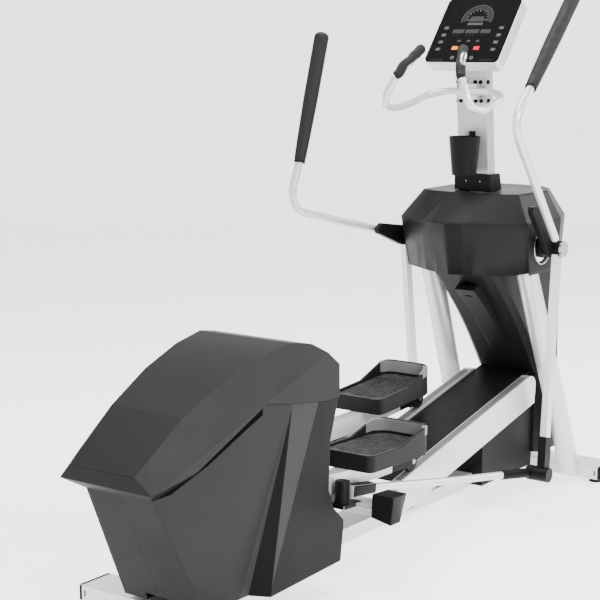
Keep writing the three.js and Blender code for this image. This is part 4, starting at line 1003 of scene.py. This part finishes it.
class TRAINER_OT_rod_sleeves(bpy.types.Operator):
    """Black sleeves over the pull rods' rear sockets and front eyes, and covers on their anchors"""
    bl_idname = "trainer.rod_sleeves"
    bl_label = "Rod sleeves"

    def execute(self, context):
        for side, sign in SIDES:
            rings = []
            for x, grow in (
                (0.0295, 0.0004), (0.032, 0.0012), (0.146, 0.0012), (0.1515, 0.0012), (0.1535, -0.003),
            ):
                t = min(1.0, max(0.0, (x - 0.029) / 0.121))
                low, high = -0.017 + 0.002 * t - grow, 0.019 - 0.004 * t + grow
                y0, y1 = sign * (0.153 - grow), sign * (0.191 + grow)
                outline = rounded_box(abs(y1 - y0), high - low, 0.005, (y0 + y1) / 2, (low + high) / 2)
                rings.append([(x, *p) for p in outline])
            lofted(f"rod_sleeve_{side}", rings, "black", f"{side}_rod", ROD[side], bevel=0.001)
            self.anchor(side, sign)
            self.eye(side, sign)
        return {"FINISHED"}

    @staticmethod
    def eye(side, sign):
        """The moulded end over a rod's front eye, with a sleeve back along the tube."""
        length, front, width = ROD_LENGTH[side], 0.323, 0.022
        middle = front + width / 2
        rings = [[(length + x, sign * y, z) for x, z in disc(r, steps=40)] for r, y in (
            (0.0235, front - 0.0010), (0.0252, front + 0.001), (0.0252, front + width - 0.001),
            (0.0235, front + width + 0.0010))]
        lofted(f"rod_eye_{side}", rings, "black", f"{side}_rod", ROD[side])
        bm = bmesh.new()
        path = spline([
            (length - 0.125, sign * (front - 0.0335), -0.0052),
            (length - 0.080, sign * (middle - 0.026), -0.003),
            (length - 0.018, sign * middle, 0)], 12)
        radii = [0.0150, 0.0158, *([0.0160] * 11)]
        add_tube(bm, path, radii, 28, ROD[side])
        mesh_object(f"rod_eye_sleeve_{side}", bm, "black", f"{side}_rod")

    @staticmethod
    def anchor(side, sign):
        """The moulded cover over the drum and the seat that the rod swivels on."""
        x, y, base, top = -0.450, sign * 0.170, -0.054, 0.014
        rings = [[(*p, z) for p in disc(r, x, y, 32)] for r, z in (
            (0.0258, base - 0.0005), (0.0258, base + 0.004), (0.0253, base + 0.006), (0.0225, top - 0.002),
            (0.0205, top + 0.0015), (0.012, top + 0.0022), (0.011, top + 0.0012), (0.002, top + 0.0012))]
        lofted(f"rod_drum_{side}", rings, "black", f"{side}_pedal", ARM[side])
        bm = bmesh.new()
        outline = rounded_box(0.0975, 0.0572, 0.006, -0.4308, sign * 0.1706)
        add_prism(bm, outline, -0.0652, -0.0528, "Z", ARM[side])
        mesh_object(f"rod_seat_{side}", bm, "black", f"{side}_pedal", 0.001)


class TRAINER_OT_mast_fittings(bpy.types.Operator):
    """Clamp plates, bolts and knobs of the pulse bar, and the collar's screws"""
    bl_idname = "trainer.mast_fittings"
    bl_label = "Mast fittings"

    @staticmethod
    def bolt(name, centre, axis, radius, height, material="black"):
        """A domed socket screw that stands out along an axis, with a recessed hexagon."""
        turn = Vector(axis).normalized().to_track_quat("Z", "Y").to_matrix().to_4x4()
        dome = ((1, -0.001), (1, height * 0.55), (0.88, height * 0.86), (0.62, height), (0.46, height))
        rings = [[(*p, z) for p in disc(radius * share, steps=24)] for share, z in dome]
        turns = [math.pi / 3 * (k // 4) + math.pi / 12 * (k % 4) for k in range(24)]
        hexagon = [(radius * 0.42 * math.cos(a), radius * 0.42 * math.sin(a)) for a in turns]
        rings += [[(*p, height * share) for p in hexagon] for share in (0.96, 0.35)]
        lofted(name, rings, material, "frame", Matrix.Translation(centre) @ turn)

    def execute(self, context):
        for i, z in enumerate((1.462, 1.398), 1):
            rear = mast_rear(z)
            lean = Matrix.Rotation(math.radians(-MAST_DEGREES), 4, "Y")
            bm = bmesh.new()
            plate = rounded_box(0.104, 0.026, 0.004)
            add_prism(bm, plate, -0.0045, -0.0003, "X", Matrix.Translation((rear, 0, z)) @ lean)
            mesh_object(f"clamp_plate_{i}", bm, "mast_steel", "frame", 0.0008)
            for k, y in enumerate((-0.040, -0.019, 0.019, 0.040), 1):
                self.bolt(f"clamp_bolt_{i}_{k}", (rear - 0.004, y, z), (-1, 0, -MAST_LEAN), 0.0072, 0.006)
            for side, sign in SIDES:
                centre = (rear + 0.010, sign * 0.0575, z)
                self.bolt(f"clamp_knob_{i}_{side}", centre, (0, sign, 0), 0.008, 0.007)
        z = 1.120
        for k, y in enumerate((-0.028, 0.028), 1):
            self.bolt(f"collar_screw_{k}", (mast_rear(z) - 0.0045, y, z), (-1, 0, 0), 0.0042, 0.0015, "steel")
        return {"FINISHED"}


class TRAINER_OT_housing_details(bpy.types.Operator):
    """Two small slots low on the housing's rear face, and a dark strip of painted shadow under each side of
    the crown's lip
    """
    bl_idname = "trainer.housing_details"
    bl_label = "Housing details"

    def execute(self, context):
        frame = self.rear_face()
        bm = bmesh.new()
        for across in (0.014, -0.010):
            add_prism(bm, rounded_box(0.007, 0.0042, 0.0018, across, 0.048), -0.0008, 0.0006, "Z", frame)
        mesh_object("rear_slots", bm, "rubber", "frame")
        for side, sign in SIDES:
            self.groove(side, sign)
        return {"FINISHED"}

    @staticmethod
    def groove(side, sign):
        """A dark strip of painted shadow along the crown's lip, just proud of the side cover."""
        (sill_x, sill_z), (lip_x, lip_z) = HOUSING_SILL, HOUSING_LIP
        a, b, c = (Vector(p) for p in (
            (lip_x, 0.117, lip_z), (-0.723, 0.190, 0.648), (sill_x, 0.144, sill_z)))
        normal = (b - a).cross(c - a).normalized()

        def surface_y(x, z):
            return a.y - (normal.x * (x - a.x) + normal.z * (z - a.z)) / normal.y

        outline = [(-1.112, 0.434), (-0.740, 0.628), (-0.742, 0.596), (-0.800, 0.566), (-0.930, 0.494),
                   (-1.060, 0.438)]
        rings = [[(x, sign * (surface_y(x, z) + out), z) for x, z in outline] for out in (-0.001, 0.0012)]
        # Painted shadow: a near-black strip stands for the shade under the crown's lip.
        lofted(f"crown_lip_shadow_{side}", rings, "gloss", "frame", smooth=False)

    @staticmethod
    def rear_face():
        """A frame on the housing's slanting rear face: X across, Y up it, Z out."""
        low, high = (Vector((x, 0, z)) for x, z in (HOUSING_SILL, HOUSING_LIP))
        up = (high - low).normalized()
        across = Vector((0, 1, 0))
        out = across.cross(up)
        if out.x > 0:
            out.negate()
            across.negate()
        frame = Matrix.Identity(4)
        for k, axis in enumerate((across, up, out)):
            for row in range(3):
                frame[row][k] = axis[row]
        frame.translation = low
        return frame


# ------------------------------------------------------------------ stage


class TRAINER_OT_stage(bpy.types.Operator):
    """Pale floor, soft studio light and the camera"""
    bl_idname = "trainer.stage"
    bl_label = "Stage"

    CAMERA = (-4.0387, -2.7143, 1.6040)
    YAW, PITCH = 36.08, 9.334
    SENSOR, LENS = 36.0, 94.017
    SHIFT = (0.0005, -0.004333)
    WORLD_STRENGTH, FLOOR_GLOW = 0.62, 1.5

    def execute(self, context):
        scene = context.scene
        self.floor(scene)
        self.lights(scene)
        data = bpy.data.cameras.new("camera")
        data.sensor_width, data.lens = self.SENSOR, self.LENS
        data.shift_x, data.shift_y = self.SHIFT
        camera = bpy.data.objects.new("camera", data)
        yaw, pitch = math.radians(self.YAW), math.radians(self.PITCH)
        level = math.cos(pitch)
        forward = Vector((math.cos(yaw) * level, math.sin(yaw) * level, -math.sin(pitch)))
        camera.location = self.CAMERA
        camera.rotation_mode = "QUATERNION"
        camera.rotation_quaternion = forward.to_track_quat("-Z", "Y")
        data.clip_start, data.clip_end = 0.05, 60
        scene.collection.objects.link(camera)
        scene.camera = camera
        return {"FINISHED"}

    def floor(self, scene):
        """A pale floor that rises into a backdrop beyond the machine."""
        bm = bmesh.new()
        size, rise, radius = 14.0, 7.0, 3.0
        profile = [(-size, 0.0), (size - radius, 0.0)]
        profile += [(size - radius + radius * math.sin(a), radius - radius * math.cos(a))
                    for a in (math.pi / 2 * i / 12 for i in range(1, 13))]
        profile.append((size, rise))
        turn = Matrix.Rotation(math.radians(self.YAW), 4, "Z")
        rows = [[bm.verts.new(turn @ Vector((x, y, z - 0.0005))) for y in (-size, size)] for x, z in profile]
        for a, b in zip(rows, rows[1:]):
            bm.faces.new((a[0], a[1], b[1], b[0]))
        mesh = bpy.data.meshes.new("floor")
        bm.to_mesh(mesh)
        bm.free()
        for polygon in mesh.polygons:
            polygon.use_smooth = True
        floor = bpy.data.objects.new("floor", mesh)
        scene.collection.objects.link(floor)
        tree, shader = new_material("studio_floor")
        cloud = noise(tree, object_point(tree), 0.8, 3.0)
        connect(tree, shader, {
            "Base Color": mix_colour(tree, cloud, (0.90, 0.90, 0.90, 1), (0.93, 0.93, 0.93, 1)),
            "Roughness": 0.9, "Specular IOR Level": 0.1,
            "Emission Color": (1, 1, 1, 1), "Emission Strength": self.FLOOR_GLOW,
        })
        mesh.materials.append(MATERIALS["studio_floor"])

    def lights(self, scene):
        """Four square soft lights that face the machine, and an even white surround."""
        aim = Vector((0, 0, 0.7))
        for name, place, size, power in (
            ("key", (-1.6, -4.8, 3.2), 2.2, 420), ("fill", (-4.8, 2.4, 2.6), 3.0, 110),
            ("rim", (3.4, -2.2, 3.2), 2.2, 160), ("top", (-0.4, 0.4, 5.0), 4.0, 420),
        ):
            data = bpy.data.lights.new(name, "AREA")
            data.energy, data.size, data.shape = power, size, "SQUARE"
            light = bpy.data.objects.new(name, data)
            light.location = place
            light.rotation_mode = "QUATERNION"
            light.rotation_quaternion = (aim - Vector(place)).to_track_quat("-Z", "Y")
            scene.collection.objects.link(light)
        world = bpy.data.worlds.new("studio")
        world.use_nodes = True
        background = world.node_tree.nodes["Background"]
        background.inputs["Color"].default_value = (1, 1, 1, 1)
        background.inputs["Strength"].default_value = self.WORLD_STRENGTH
        scene.world = world


# ------------------------------------------------------------------ add-on


OPERATORS = (
    TRAINER_OT_materials, TRAINER_OT_grips, TRAINER_OT_pulse_grips, TRAINER_OT_pedal_mats,
    TRAINER_OT_console, TRAINER_OT_stabiliser_caps, TRAINER_OT_running_strips, TRAINER_OT_shoulder_trims,
    TRAINER_OT_rod_sleeves, TRAINER_OT_mast_fittings, TRAINER_OT_housing_details, TRAINER_OT_stage,
)


class TRAINER_PT_panel(bpy.types.Panel):
    """Lists the settings and one button for each group of pieces"""
    bl_idname = "TRAINER_PT_panel"
    bl_label = "Elliptical Trainer"
    bl_space_type = "VIEW_3D"
    bl_region_type = "UI"
    bl_category = "Trainer"

    def draw(self, context):
        layout = self.layout
        for group in settings(context):
            box = layout.box()
            for name in group.__annotations__:
                box.prop(group, name)
        for operator in OPERATORS:
            layout.operator(operator.bl_idname)


CLASSES = (TRAINER_PG_colours, TRAINER_PG_sizes, *OPERATORS, TRAINER_PT_panel)


def register():
    for item in CLASSES:
        bpy.utils.register_class(item)
    bpy.types.Scene.trainer_colours = bpy.props.PointerProperty(type=TRAINER_PG_colours)
    bpy.types.Scene.trainer_sizes = bpy.props.PointerProperty(type=TRAINER_PG_sizes)


def unregister():
    del bpy.types.Scene.trainer_sizes
    del bpy.types.Scene.trainer_colours
    for item in reversed(CLASSES):
        bpy.utils.unregister_class(item)


def main():
    register()
    for operator in OPERATORS:
        group, name = operator.bl_idname.split(".")
        getattr(getattr(bpy.ops, group), name)()


if __name__ == "__main__":
    main()
